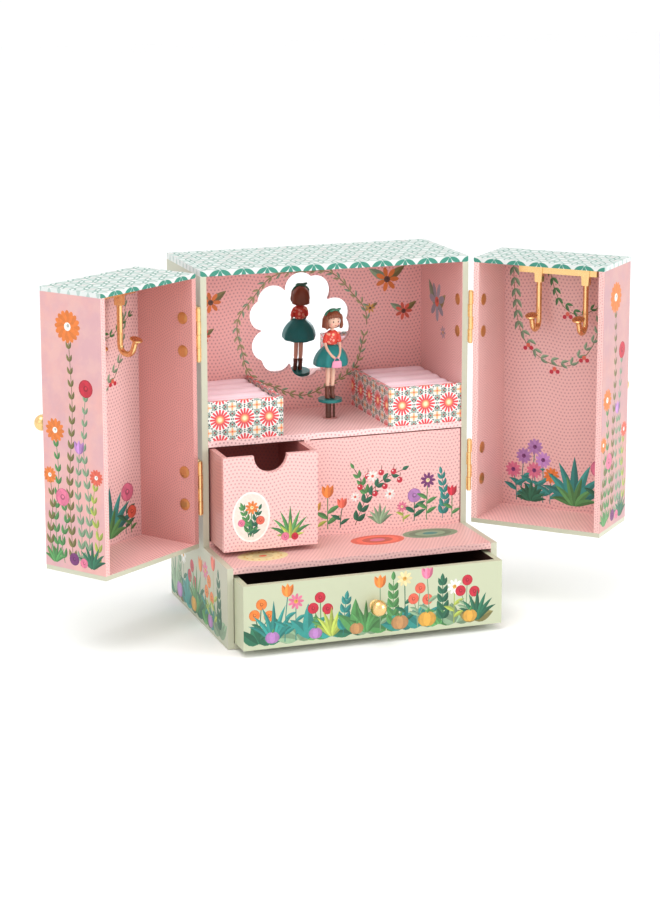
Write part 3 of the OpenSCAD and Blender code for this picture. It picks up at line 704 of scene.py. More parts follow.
# ------------ box doors
# Each door is a shallow box: a front panel, two ends, a hinge wall and a free wall, all
# greyboard. Pink dotted paper lines it, a petal print covers the top and pale green the foot.
door_top = body_h - 1.5 * mm
# painted light and shade: the left hinge wall is painted a darker pink, the left panel and the right hinge
# wall lighter pinks, for how the light falls on them
door_lit_and_shaded_pinks = {"left_door_hinge_wall": (0.76, 0.41, 0.38), "left_door_panel": (0.86, 0.62, 0.60),
              "right_door_hinge_wall": (0.93, 0.63, 0.60)}
for side, way in (("left", -1), ("right", 1)):
    for part, pattern in (("panel", "rows"), ("hinge_wall", "waves"), ("free_wall", "waves")):
        node = f"{side}_door_{part}"
        cover(node, door_lit_and_shaded_pinks.get(node, pink_paper), pattern, side)
    node = f"{side}_door_top"
    dress(node, lid_paper("paper_" + node, door_top, side, centre=way * 52.5 * mm, front=-71.9 * mm))
    node = f"{side}_door_bottom"
    paper, place, facing = start_paper("paper_" + node, side)
    # painted light: the door floor's upward face is painted a lighter pink than the walls, for the light from
    # above
    lining = lined(place, facing, (0.95, 0.63, 0.60), "rows")
    dress(node, finish_paper(paper, place, blend(split(facing)[2] > 0.5, cream_green, lining)))
    for part in ("door_knob", "hook_rail", "hooks"):
        dress(f"{side}_{part}", brass)

# ------------ drawers
# Greyboard boxes. The small one is pink with dots outside; its sides and its inward faces are painted a
# deeper pink as shade. The base drawer has a pale cream-green front and rims, a dark brown lining and a brass
# ball knob.
pale_mint, lining_brown = (0.515, 0.55, 0.395), (0.075, 0.035, 0.028)
for drawer in ("small_drawer", "base_drawer"):
    for part in ("front", "sides", "back", "floor"):
        node = f"{drawer}_{part}"
        paper, place, facing = start_paper("paper_" + node)
        nx, ny, nz = split(facing)
        from_middle = split(place)[0] - (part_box(node)[0].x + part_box(node)[1].x) / 2
        inward = {"front": ny > 0.5, "sides": from_middle * nx < -0.01,
                  "back": ny < -0.5, "floor": nz > 0.5}[part]
        if drawer == "small_drawer":
            # painted shade: the small drawer's sides are a darker pink and all its inward faces a deeper
            # red-pink
            pink = (0.68, 0.37, 0.335) if part == "sides" else pink_paper
            colour = lined(place, facing, blend(inward, pink, (0.60, 0.24, 0.22)), "rows")
        else:
            colour = blend(inward, pale_mint, lining_brown)
        dress(node, finish_paper(paper, place, colour))
dress("base_drawer_knob", brass)


# ------------ musical movement
# A cast zinc bedplate carries the steel comb, the pinned brass cylinder, the train and
# the spring barrel. A wing key on the barrel's arbor stands out through the back board.
zinc = metal("cast_zinc", (0.62, 0.63, 0.62), (0.38, 0.39, 0.40), 0.38, 1.0)
steel = metal("comb_steel", (0.70, 0.71, 0.73), (0.42, 0.43, 0.46), 0.20)
for node, finish in (("bedplate", zinc), ("comb", steel), ("pinned_cylinder", brass), ("train_wheel", brass),
                     ("governor", steel), ("spring_barrel", brass), ("winding_key", brass)):
    dress(node, finish)
# ------------ outside sheets of the base
# The outsides of both sides, the base front and the deck carry one printed sheet each:
# a row of garden flowers and leaves on cream-green, painted darker on the sides as shade, and three small
# rugs on the pink deck.
# painted shade: the side sheets' ground is a darker cream-green than the paper on the front edges
shaded_garden = inked_paper("garden_paper", ground=(0.49, 0.50, 0.39), gloss=0.40)


def gourd(x, y, r, ink):
    """A round ribbed gourd lying at the foot of the plants."""
    made = [(around(x, y, r, 0.8 * r, 16), tinted(ink, 0.78))]
    for shift, tone in ((-0.42, 0.95), (0.42, 0.88), (0.0, 1.12)):
        made.append((around(x + shift * r, y, 0.4 * r, 0.74 * r, 12), tinted(ink, tone)))
    return made + leaf(x, y + 0.6 * r, 0.7 * r, 0.3 * r, 1.2, leaf_green)


def garden_row(start, end, low, high, seed):
    """Low bushes along a foot line, with sprigs, tufts and flowers standing among them."""
    rng = random.Random(seed)
    made, x = [], start
    while x < end:
        green = rng.choice([leaf_green, deep_green, sage, olive, teal_ink])
        for k in range(5):
            turn = pi * (0.14 + 0.72 * k / 4)
            made += leaf(x + rng.uniform(-1.5, 1.5), low, rng.uniform(0.34, 0.5) * high, 0.21 * high, turn,
                         tinted(green, rng.uniform(0.8, 1.25)), rng.uniform(-0.3, 0.3))
        x += rng.uniform(12, 16)
    x, kind = start, rng.randrange(6)
    while x < end:
        tall = rng.uniform(0.66, 1.0) * high
        lean = rng.uniform(-2.5, 2.5)
        green = rng.choice([leaf_green, deep_green, lime, sage, teal_ink])
        if kind == 0:
            made += tuft(x, low, tall * 0.85, green, 7, wide=0.095 * high)
        elif kind == 1:
            ink = rng.choice([coral, orange, rose])
            made += flowers(low, (x, tall, lean, green, 3, 0.26 * high, tulip, 0.13 * high, ink, 1))
        elif kind == 2:
            line = [(x, low), (x + lean * 0.3, low + tall * 0.5), (x + lean, low + tall)]
            made += sprig(line, green, 0.27 * high, 0.13 * high)
        elif kind == 3:
            ink = rng.choice([chalk, straw, rose])
            made += flowers(low, (x, tall, lean, green, 3, 0.25 * high, daisy, 0.155 * high, ink, ochre))
        elif kind == 4:
            for bend in (-1, 0, 1):
                made += leaf(x, low, tall * (0.95 - 0.2 * abs(bend)), 0.22 * high,
                             pi / 2 - bend * 0.42, green, -0.3 * bend)
        else:
            ink = rng.choice([plum, coral, red_ink, orange])
            for dx, dy in ((0, 0), (-0.14, -0.2), (0.15, -0.24)):
                made += flowers(low, (x, tall * 0.9 + dy * high, lean + dx * high, green, 2, 0.2 * high,
                                      rose_bloom, 0.11 * high, ink))
        kind = (kind + rng.choice([1, 1, 2])) % 6
        x += rng.uniform(0.21, 0.29) * high
    x = start + 0.25 * high
    while x < end - 0.15 * high:
        r = rng.uniform(0.13, 0.19) * high
        made += gourd(x, low + r * 0.72, r, rng.choice([ochre, orange, tan_ink, mauve, tan_ink]))
        x += rng.uniform(0.55, 0.95) * high
    return made


def front_size(node):
    low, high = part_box(node)
    return (high.x - low.x) / mm, (high.z - low.z) / mm


def front_print(node, shapes, paper, holes=()):
    """A printed sheet over the whole front of a board."""
    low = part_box(node)[0]
    printed_sheet(node + "_print", node, (low.x, low.y, low.z), (1, 0, 0), (0, 0, 1),
                  box_outline(*front_size(node)), shapes, paper, holes=holes)


side_rim = [(0, 0), (150, 0), (150, 60.4), (90, 60.4), (90, 263.5), (0, 263.5)]
printed_sheet("left_side_print", "left_side", (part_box("left_side")[0].x, back_y, 0), (0, -1, 0),
              (0, 0, 1), side_rim, garden_row(12, 139, 4, 46, 21), shaded_garden)
printed_sheet("right_side_print", "right_side", (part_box("right_side")[1].x, front_y, 0), (0, 1, 0),
              (0, 0, 1), [(150 - x, y) for x, y in side_rim][::-1], garden_row(12, 139, 4, 46, 5), shaded_garden)
mint_paper = inked_paper("mint_garden_paper", ground=pale_mint, gloss=0.40)
base_wide = front_size("base_drawer_front")[0]
front_print("base_drawer_front", garden_row(12, base_wide - 11, 4, 38, 3), mint_paper)

in_wide, deck_deep, liner_high = 201, 60, 123
rug_paper = inked_paper("deck_paper", pattern="rows", pink=deck_pink)
rugs = ovals(30, 24, (19, 13, 28, straw))
for i in range(16):
    a = 2 * pi * i / 16
    rugs += ovals(30 + 14 * cos(a), 24 + 9 * sin(a), (0.9, 0.9, 8, ochre))
rugs += ovals(30, 24, (8, 5.4, 20, tinted(straw, 0.8)), (3, 2, 12, coral))
rugs += ovals(124, 36, (21, 13, 28, coral), (16.5, 10, 28, tinted(coral, 1.3)),
              (12, 7.2, 24, tinted(coral, 0.75)), (6, 3.6, 16, rose))
rugs += ovals(168, 40, (22, 12, 28, sage), (17, 9.2, 28, tinted(sage, 0.7)),
              (12, 6.4, 24, tinted(sage, 1.2)), (6, 3.2, 16, teal_ink))
printed_sheet("deck_print", "deck_board", (-in_x, front_y, deck_z), (1, 0, 0), (0, 1, 0),
              box_outline(in_wide, deck_deep), rugs, rug_paper)

# ------------ sheets of the drawers' row
# A posy in a chalk-white oval on the small drawer's front, whose sheet is cut round the
# thumb notch; flowers and berries along the dummy front beside it.
wide, high = front_size("small_drawer_front")
notch = [off_point(wide / 2, high, 12.9, -pi * (1 - i / 24)) for i in range(25)]
posy = ovals(21, 25, (14.5, 19, 32, chalk), (13.2, 17.6, 32, (0.90, 0.80, 0.72)))
posy += sprig([(20, 11), (18, 22), (14.5, 32)], leaf_green, 7, 3.2)
posy += sprig([(21, 11), (23, 21), (27, 30)], deep_green, 7, 3.2)
posy += flowers(10, (20.5, 22, 1.0, leaf_green, 2, 7, daisy, 5, orange, straw),
                (22, 12, 6.0, deep_green, 1, 7, rose_bloom, 3.3, coral),
                (19, 11, -5.5, deep_green, 1, 7, rose_bloom, 2.8, rose))
posy += tuft(51, 6, 25, leaf_green, 7, 1.1, 3.0) + tuft(51, 6, 15, lime, 5, 1.6, 2.6)
posy += rose_bloom(47, 8, 3.2, rose) + rose_bloom(54.5, 7.5, 2.8, red_ink)
front_print("small_drawer_front", posy, inked_paper("small_drawer_paper", pattern="rows"), [notch])

bed = flowers(5, (14, 24, 0, leaf_green, 3, 12, tulip, 5.2, orange),
              (24, 15, 1.5, deep_green, 2, 9, tulip, 4.2, coral), (6, 14, -1, lime, 2, 9, tulip, 4.0, ochre))
bed += sprig([(36, 6), (44, 24), (56, 38), (74, 46)], deep_green, 9, 4.4, brown, gap=7.5)
bed += sprig([(46, 27), (41, 40), (35, 50)], leaf_green, 8, 3.8, brown, gap=7)
for x, y in ((52, 31), (60, 36), (67, 47), (40, 37), (46, 45), (72, 40), (57, 47)):
    bed += stalk([(x, y), (x + 0.5, y + 4)], 0.45, brown)
    bed += ovals(x, y - 1.8, (2.3, 2.3, 14, red_ink)) + ovals(x - 0.7, y - 1.1, (0.6, 0.6, 8, chalk))
bed += daisy(50, 43, 4.4, chalk, coral) + daisy(64, 28, 4.2, chalk, coral) + daisy(36, 28, 3.6, chalk, coral)
bed += tuft(56, 5, 17, sage, 7, 1.0, 3.0)
bed += flowers(5, (84, 20, 0, deep_green, 3, 11, rose_bloom, 5.6, mauve),
               (94, 31, 1, leaf_green, 4, 10, daisy, 6, plum, straw),
               (75, 12, -1, lime, 2, 7, daisy, 4.2, rose, straw))
bed += sprig([(107, 5), (109, 22), (106, 40)], teal_ink, 9, 4.0)
bed += flowers(5, (115, 17, 0, leaf_green, 2, 9, tulip, 4.2, red_ink))
front_print("fixed_panel", bed, inked_paper("dummy_front_paper", pattern="rows"))

# ------------ wreath round the mirror
# The card liner's face: a ring of olive leaves round the blossom opening, and loose
# blossoms either side. The sheet is cut through where the card is.
opening, lobe_ring, lobe_r = (99.5, 65.3), 29.5, 12.75
holes = [around(*opening, lobe_ring * 0.86, count=40)]
for i in range(5):
    for half in (-12, 12):
        lobe = off_point(*opening, lobe_ring, radians(4 + 72 * i + half))
        holes.append(around(*lobe, lobe_r, count=40))


def wreath_at(a):
    """A point of the wreath's wavy ring."""
    r = 52.5 + 1.6 * sin(7 * a)
    return 102 + r * cos(a), 60.5 + 0.93 * r * sin(a)


wreath = stalk([wreath_at(2 * pi * i / 40 + 0.05) for i in range(40)], 0.7, tinted(olive, 1.3))
for i in range(1, 46):
    a = 2 * pi * i / 46
    for s in (-1, 1):
        ink = (0.38, 0.36, 0.18) if (i + s) % 3 else sage
        wreath += leaf(*wreath_at(a), 5.8, 1.8, a + pi / 2 + s * 0.72, ink, -0.2 * s)
for x, y, r, ink in ((28, 88, 8, orange), (22, 62, 5.5, coral), (40, 112, 4, straw), (172, 98, 9.5, orange),
                     (186, 72, 7, coral), (158, 76, 4, ochre), (190, 112, 4.5, straw)):
    wreath += leaf(x, y, r * 1.9, r * 0.7, 0.6, olive) + leaf(x, y, r * 1.9, r * 0.7, 2.6, sage)
    wreath += daisy(x, y, r, ink, brown, 7)
liner_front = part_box("mirror_liner")[0].y
liner_paper = inked_paper("liner_paper", pattern="rows", pink=liner_pink)
printed_sheet("mirror_liner_print", "mirror_liner", (-in_x, liner_front, shelf_z), (1, 0, 0), (0, 0, 1),
              box_outline(in_wide, liner_high), wreath, liner_paper, holes=holes)

# ------------ sheet on the right wall
# The lining beside the mirror carries one large grey-blue blossom with a coral heart.
blossom = leaf(30, 48, 24, 9, 2.2, tinted(sage, 0.9)) + leaf(34, 46, 22, 8, 0.7, tinted(olive, 1.5))
blossom += daisy(33, 52, 15, (0.40, 0.43, 0.52), coral, 7, 0.3)
blossom += daisy(46, 30, 5, (0.50, 0.40, 0.50), ochre, 7)
printed_sheet("right_wall_print", "right_side", (in_x, liner_front - 0.2 * mm, shelf_z + 32 * mm), (0, -1, 0),
              (0, 0, 1), box_outline((liner_front - cab_y) / mm - 0.4, 90.8), blossom,
              inked_paper("right_wall_paper"))

# ------------ sheets on the doors
# Tall meadow flowers climb the free wall of each door. Inside, a leafy garland with
# berries hangs from the top and clumps of flowers stand at the foot.
door_end, door_wide, door_deep = 3.4 * mm, 104.6, 56
door_front, door_low, free_x = -71.8 * mm, 60.8 * mm + door_end, 0.4 * mm
door_high = (door_top - door_end - door_low) / mm
inner_wide = door_wide - 2 * board / mm


def climbing_meadow(high, seed):
    rng = random.Random(seed)
    made = []
    plants = ((12, 0.52), (40, 0.70), (26, 0.93), (48, 0.36), (18, 0.26), (33, 0.44), (6, 0.34))
    for k, (x, tall) in enumerate(plants):
        top = high * tall * 0.93
        sway = rng.uniform(3, 6) * (1 if k % 2 else -1)
        line = [(x, 4), (x + sway * 0.5, 4 + top * 0.33), (x - sway * 0.5, 4 + top * 0.66),
                (x + sway * 0.2, 4 + top)]
        green = [leaf_green, sage, olive, lime][k % 4]
        made += sprig(line, green, 8.5, 3.2, spread=0.65, gap=9, tip=False)
        head = line[-1]
        if k % 3 == 0:
            made += daisy(*head, 8.5 if tall > 0.5 else 6.0, [orange, coral][k % 2], chalk, 13)
        elif k % 3 == 1:
            made += rose_bloom(*head, 6.5, [rose, red_ink][k % 2])
        else:
            made += daisy(*head, 11.5, orange, chalk, 16) if tall > 0.9 else tulip(*head, 5, mauve)
    made += tuft(44, 3, 20, deep_green, 7, 1.2, 3.0) + tuft(9, 3, 16, leaf_green, 6, 1.2, 2.6)
    return made + rose_bloom(27, 8, 4.6, plum) + rose_bloom(36, 6.5, 3.6, rose)


def garland_inside(high, seed):
    rng = random.Random(seed)
    swag = [(6, high + 2), (12, high * 0.72), (30, high * 0.60), (55, high * 0.58), (76, high * 0.70),
            (84, high + 2)]
    made = sprig(swag, sage, 8.5, 3.0, tinted(olive, 0.9), 0.7, 8.5, False)
    swag = [(34, high + 2), (44, high * 0.84), (62, high * 0.78), (90, high * 0.86)]
    made += sprig(swag, tinted(leaf_green, 0.8), 7.5, 2.8, tinted(olive, 0.9), 0.7, 8.0, False)
    for x, y in ((20, 0.66), (42, 0.575), (66, 0.63), (52, 0.795)):
        for dx, dy, ink in ((0, -3, coral), (2.6, -5, red_ink), (-2.4, -5.4, red_ink)):
            made += ovals(x + dx, y * high + dy, (1.7, 1.7, 12, ink))
    for x, tall, ink, heart in ((16, 40, mauve, plum), (25, 49, mauve, plum),
                                (34, 38, tinted(mauve, 1.3), plum), (28, 28, rose, plum),
                                (12, 27, rose, plum), (40, 25, orange, brown)):
        lean = rng.uniform(-3, 3)
        made += flowers(4, (x, tall * 0.9, lean, teal_ink, 3, 12, daisy, 6.4, ink, heart, 11))
    made += tuft(60, 4, 40, teal_ink, 7, 1.2, 7.0) + tuft(60, 4, 26, leaf_green, 6, 1.7, 5.0)
    made += tuft(24, 4, 17, deep_green, 9, 1.8, 4.0)
    return made + flowers(4, (78, 32, 2, deep_green, 3, 12, rose_bloom, 7.0, rose),
                          (84, 16, 1, leaf_green, 2, 8, rose_bloom, 5.0, coral))


# painted shade: each free wall's ground and washes are darkened, the right door's more than the left's, and
# the right door's inside print has a deeper pink than the left's
for side, wall_x, wall_y, along, inner_x, outer_x, painted_wall_shade, pink, wall_seed, inner_seed, outer_seed in (
        ("left", -free_x, door_front, (0, 1, 0), -free_x - board, -body_w / 2,
         0.88, (0.84, 0.58, 0.56), 3, 4, 11),
        ("right", free_x, door_front + door_deep * mm, (0, -1, 0), body_w / 2 - board, free_x,
         0.72, (0.78, 0.485, 0.46), 8, 6, 12)):
    washes = ((22, 0.50, 0.60, tinted((0.66, 0.42, 0.48), painted_wall_shade)),
              (60, 0.55, 0.35, tinted((0.86, 0.56, 0.48), painted_wall_shade)))
    paper = inked_paper(f"{side}_door_wall_paper", tinted((0.82, 0.46, 0.43), painted_wall_shade), side, washes=washes)
    printed_sheet(f"{side}_door_wall_print", f"{side}_door_free_wall", (wall_x, wall_y, door_low), along,
                  (0, 0, 1), box_outline(door_deep, door_high),
                  climbing_meadow(door_high, wall_seed), paper, side)
    paper = inked_paper(f"{side}_door_inside_paper", door=side, pattern="rows", pink=pink)
    printed_sheet(f"{side}_door_inside_print", f"{side}_door_panel", (inner_x, door_front + board, door_low),
                  (-1, 0, 0), (0, 0, 1), box_outline(inner_wide, door_high),
                  garland_inside(door_high, inner_seed), paper, side)
    paper = inked_paper(f"{side}_door_front_paper", cream_green, side)
    printed_sheet(f"{side}_door_front_print", f"{side}_door_panel", (outer_x, door_front, door_low),
                  (1, 0, 0), (0, 0, 1), box_outline(door_wide, door_high),
                  garden_row(10, 95, 4, 60, outer_seed), paper, side)

# ------------ ring cushions
# Soft foam rolls under pink velour, side by side in each tray with narrow slots between
# for rings. Each cushion is one stuffed piece, tucked down at its ends.
velour, shader, place, _ = new_finish("pink_velour")
pile = noise(place, 5200, 2)
lit = blend(noise(place, 70, 3), (0.97, 0.75, 0.82), (1.0, 0.86, 0.92))
lit = blend(pile * 0.35, lit, (0.99, 0.90, 0.93))
# painted shade: the velour is drawn darker down in the slots between the rolls
slot_shade = below(split(place)[2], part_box("left_cushion")[1].z - 3.2 * mm, 2.2 * mm)
plug(shader, Base_Color=blend(slot_shade * 0.6, lit, (0.62, 0.26, 0.34)), Normal=bumped(pile, 0.25, 0.3 * mm),
     Roughness=0.92, Sheen_Weight=0.55, Sheen_Roughness=0.45, Sheen_Tint=(1.0, 0.86, 0.90))
rolls, end_rows, round_n = 5, 18, 12


def ring_cushion(name, node):
    low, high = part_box(node)
    pitch = (high.y - low.y) / rolls
    bottom = low.z + 0.2 * mm
    ring = [(low.y + 0.2 * mm, bottom)]
    for k in range(rolls):
        mid = low.y + pitch * (k + 0.5)
        for j in range(round_n + 1):
            t = pi * (1 - j / round_n)
            flat = abs(cos(t)) ** 0.9 * copysign(1, cos(t))
            ring.append((mid + flat * (pitch / 2 - 0.25 * mm),
                         high.z - pitch * 0.52 + pitch * 0.50 * sin(t) ** 0.85))
        if k < rolls - 1:
            ring.append((low.y + pitch * (k + 1), high.z - pitch * 0.95))
    ring.append((high.y - 0.2 * mm, bottom))
    grown = bmesh.new()
    rows = []
    for i in range(end_rows + 1):
        t = i / end_rows
        x = low.x + 0.15 * mm + (high.x - low.x - 0.3 * mm) * (0.5 - 0.5 * cos(pi * t))
        # both ends are tucked down and drawn in toward the middle of each roll
        tuck = max(0.0, 1 - min(x - low.x, high.x - x) / mm / 4.5) ** 2
        row = []
        for k, (y, z) in enumerate(ring):
            crown = 0 < k < len(ring) - 1
            mid_y = low.y + pitch * (min(rolls - 1, max(0, int((y - low.y) / pitch))) + 0.5)
            ripple = 0.28 * mm * sin(x / mm * 0.33 + k * 0.5) * sin(x / mm * 0.11 + y / mm * 0.2)
            row.append(grown.verts.new((x, y + (mid_y - y) * 0.18 * tuck * crown,
                                        z + (ripple - tuck * 3.4 * mm) * crown)))
        rows.append(row)
    for a, b in zip(rows, rows[1:]):
        for k in range(len(ring) - 1):
            grown.faces.new((a[k], b[k], b[k + 1], a[k + 1]))
        grown.faces.new((a[-1], b[-1], b[0], a[0]))
    grown.faces.new(rows[0])
    grown.faces.new(rows[-1][::-1])
    bmesh.ops.recalc_face_normals(grown, faces=grown.faces)
    mesh = bpy.data.meshes.new(name)
    grown.to_mesh(mesh)
    grown.free()
    for face in mesh.polygons:
        face.use_smooth = len(face.vertices) == 4
    mesh.materials.append(velour)
    cushion = new_object(name, mesh)
    smoother = cushion.modifiers.new("stuffing", "SUBSURF")
    smoother.levels = smoother.render_levels = 1
    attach(cushion, "cabinet")
    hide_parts(node)


ring_cushion("left_ring_cushion", "left_cushion")
ring_cushion("right_ring_cushion", "right_cushion")

# ------------ turning doll
# A small moulded doll, painted by hand: brown bobbed hair with a green bow, a red
# flowered blouse, a teal bell skirt, a pink handbag and brown ankle boots.
doll_x, doll_y = 10.5 * mm, 30.63 * mm
foot_z = shelf_z + 15.5 * mm
doll_scale = 68 / 66.0 * mm
head_turn, lean = 0.18, 0.045


def painted(name, ink, gloss=0.4, speckle=None):
    """Hand-laid paint; the speckle is two inks, a ring of flecks and their hearts."""
    made, shader, place, _ = new_finish(name)
    brush = noise(place, 700, 3)
    colour = blend(noise(place, 110, 2) * 0.7 + brush * 0.3, tinted(ink, 0.82), tinted(ink, 1.15))
    if speckle:
        cells = plug(add_node("TexVoronoi", [place]), Vector=place, Scale=350.0)
        fleck = Value(cells.outputs["Distance"])
        colour = blend(below(fleck, 0.38, 0.06), colour, speckle[0])
        colour = blend(below(fleck, 0.17, 0.04), colour, speckle[1])
    plug(shader, Base_Color=colour, Normal=bumped(brush, 0.12, 0.1 * mm),
         Roughness=brush * 0.2 + (gloss - 0.1), Coat_Weight=0.25, Coat_Roughness=0.25)
    return made


skin = painted("painted_skin", (0.90, 0.60, 0.46), 0.5)
hair_paint = painted("painted_hair", (0.26, 0.08, 0.035), 0.38)
blouse_paint = painted("painted_blouse", (0.72, 0.07, 0.04), 0.5, ((0.93, 0.42, 0.34), (1.0, 0.74, 0.16)))
skirt_paint = painted("painted_skirt", (0.008, 0.25, 0.245), 0.42)
boot_paint = painted("painted_boots", (0.17, 0.062, 0.038), 0.35)
bow_paint = painted("painted_bow", (0.04, 0.24, 0.15), 0.4)
bag_paint = painted("painted_bag", (0.86, 0.36, 0.52), 0.45)
eye_paint = painted("painted_eyes", (0.03, 0.02, 0.02), 0.2)
lip_paint = painted("painted_lips", (0.72, 0.16, 0.14), 0.35)
cheek_paint = painted("painted_cheeks", (0.92, 0.42, 0.36), 0.5)


def doll_part(name, shape, paint, smooth=1, head=False):
    """A moulded piece in the doll's own units: millimetres from between her feet.
    She leans a little to one side, and her head is turned the same way."""
    verts, faces = shape
    mesh = bpy.data.meshes.new(name)
    c, s = (cos(head_turn), sin(head_turn)) if head else (1.0, 0.0)
    placed = [(doll_x + (x * c - y * s + z * lean - 0.7) * doll_scale,
               doll_y + (x * s + y * c) * doll_scale, foot_z + z * doll_scale) for x, y, z in verts]
    mesh.from_pydata(placed, [], faces)
    outward = bmesh.new()
    outward.from_mesh(mesh)
    bmesh.ops.recalc_face_normals(outward, faces=outward.faces)
    outward.to_mesh(mesh)
    outward.free()
    for face in mesh.polygons:
        face.use_smooth = True
    mesh.materials.append(paint)
    part = new_object(name, mesh)
    rounding = part.modifiers.new("rounding", "SUBSURF")
    rounding.levels = rounding.render_levels = smooth
    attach(part, "spindle")
    return part


def tube(verts, count):
    """Joins rings of this many corners into a closed tube."""
    faces = []
    for r in range(0, len(verts) - count, count):
        for i in range(count):
            j = (i + 1) % count
            faces.append((r + i, r + j, r + count + j, r + count + i))
    faces.append(tuple(range(count))[::-1])
    faces.append(tuple(range(len(verts) - count, len(verts))))
    return verts, faces


def lofted(rings, count):
    """A tube through level ovals (x, y, z, rx, ry); a sixth item is a function of the angle."""
    verts = []
    for x, y, z, rx, ry, *wave in rings:
        for a in (2 * pi * i / count for i in range(count)):
            k = wave[0](a) if wave else 1.0
            verts.append((x + rx * k * cos(a), y + ry * k * sin(a), z))
    return tube(verts, count)


def limb(points, radii, count=10):
    """A tube through points in space, one radius each."""
    verts = []
    for k, (point, radius) in enumerate(zip(points, radii)):
        a, b = Vector(points[max(k - 1, 0)]), Vector(points[min(k + 1, len(points) - 1)])
        turn = (b - a).to_track_quat("Z", "Y")
        for t in (2 * pi * i / count for i in range(count)):
            verts.append(tuple(Vector(point) + turn @ Vector((radius * cos(t), radius * sin(t), 0))))
    return tube(verts, count)


def together(*pieces):
    verts, faces = [], []
    for v, f in pieces:
        faces += [tuple(i + len(verts) for i in face) for face in f]
        verts += v
    return verts, faces


def egg(x, y, z, rx, ry, rz, count=10):
    slices = [pi * k / 6 for k in range(1, 6)]
    return lofted([(x, y, z - rz * cos(t), rx * sin(t), ry * sin(t)) for t in slices], count)


legs = [limb([(s * 1.95, -0.3, z) for z in (8.4, 12, 16, 20, 25.5)], (1.5, 1.78, 1.8, 1.9, 1.94))
        for s in (-1, 1)]
leg_part = doll_part("doll_legs", together(*legs), skin)
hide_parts("doll_figure")
boots = [lofted([(s * x, y, z, rx, ry) for x, y, z, rx, ry in (
    (2.05, -1.5, 0.05, 1.75, 3.3), (2.05, -1.5, 0.8, 1.85, 3.4), (2.05, -1.4, 1.9, 1.75, 3.0),
    (2.0, -0.7, 3.2, 1.7, 2.2), (1.95, -0.35, 4.6, 1.6, 1.8), (1.95, -0.3, 7.4, 1.8, 1.95),
    (1.95, -0.3, 9.0, 2.1, 2.25), (1.95, -0.3, 9.25, 1.65, 1.8))], 14) for s in (-1, 1)]
doll_part("doll_boots", together(*boots), boot_paint)


def pleat(depth):
    return lambda a: 1 + depth * cos(9 * a) + 0.4 * depth * sin(4 * a + 1)


skirt = lofted([(0, -0.3, 40.8, 4.0, 3.5), (0, -0.3, 39.6, 5.6, 5.0, pleat(0.01)),
                (0, -0.3, 37.4, 8.4, 7.6, pleat(0.02)), (0, -0.3, 34.2, 11.0, 10.2, pleat(0.028)),
                (0, -0.3, 30.4, 12.6, 11.8, pleat(0.032)), (0, -0.3, 27.2, 13.1, 12.3, pleat(0.034)),
                (0, -0.3, 25.6, 12.9, 12.1, pleat(0.034)), (0, -0.3, 25.0, 12.3, 11.5, pleat(0.03)),
                (0, -0.3, 25.5, 11.4, 10.6, pleat(0.03)), (0, -0.3, 29, 10.6, 9.8),
                (0, -0.3, 34, 8.0, 7.2), (0, -0.3, 37, 4.6, 4.2)], 54)
skirt_part = doll_part("doll_skirt", skirt, skirt_paint)
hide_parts("doll_dress")
bodice = lofted([(0, -0.3, 40.2, 3.9, 3.3), (0, -0.3, 41.5, 4.1, 3.5), (0, -0.4, 44.5, 4.7, 3.7),
                 (0, -0.4, 47.5, 5.2, 3.6), (0, -0.3, 49.5, 4.6, 3.2), (0, -0.3, 50.9, 2.9, 2.5),
                 (0, -0.3, 51.4, 1.9, 1.8)], 18)
sleeves = [limb([(s * 3.2, -0.3, 49.4), (s * 4.5, -0.5, 47.8), (s * 5.2, -0.9, 45.0), (s * 5.5, -1.3, 42.3),
                 (s * 5.5, -1.4, 42.0)], (1.3, 1.85, 2.0, 2.1, 1.5), 12) for s in (-1, 1)]
doll_part("doll_blouse", together(bodice, *sleeves), blouse_paint, 2)
arms = [limb([(s * 5.4, -1.3, 43.2), (s * 5.6, -2.8, 40.0), (s * 4.8, -6.4, 36.8), (s * 3.0, -10.0, 33.8),
              (s * 1.6, -11.8, 32.7), (s * 0.8, -12.3, 32.3)], (1.2, 1.15, 1.1, 1.0, 1.15, 0.7))
        for s in (-1, 1)]
doll_part("doll_arms", together(*arms), skin)
pouch = lofted([(0.2, -13.1, 25.2, 3.9, 1.0), (0.2, -13.1, 25.5, 4.1, 1.15), (0.2, -13.1, 28.0, 3.9, 1.1),
                (0.2, -13.1, 30.2, 3.4, 0.9), (0.2, -13.1, 30.5, 3.1, 0.7)], 16)
handle = limb([(-1.9, -13.1, 30.2), (-1.8, -13.0, 31.4), (-0.8, -12.9, 32.6), (0.4, -12.9, 32.9),
               (1.5, -12.9, 32.3), (2.3, -13.0, 31.2), (2.4, -13.1, 30.2)], (0.35,) * 7, 8)
doll_part("doll_bag", together(pouch, handle), bag_paint)
neck = lofted([(0, -0.3, 50.2, 1.7, 1.6), (0, -0.3, 52.0, 1.5, 1.45), (0, -0.4, 54.4, 1.6, 1.5)], 14)
face = lofted([(0, -0.5, 52.9, 1.0, 1.0), (0, -0.8, 53.4, 2.6, 2.6), (0, -0.9, 54.6, 4.1, 4.0),
               (0, -0.8, 56.4, 5.1, 4.9), (0, -0.6, 58.6, 5.4, 5.2), (0, -0.3, 61.0, 5.2, 5.1),
               (0, 0, 63.2, 4.2, 4.3), (0, 0, 64.6, 2.2, 2.3)], 20)
nose = egg(0, -5.85, 57.0, 0.5, 0.5, 0.6, 8)
doll_part("doll_head", together(neck, face, nose), skin, 2, head=True)
eyes = [egg(s * 2.0, -5.33, 58.1, 0.52, 0.35, 0.72) for s in (-1, 1)]
brows = [limb([(s * 1.2, -5.5, 60.1), (s * 2.0, -5.45, 60.5), (s * 2.9, -5.05, 60.2)], (0.12, 0.17, 0.12), 6)
         for s in (-1, 1)]
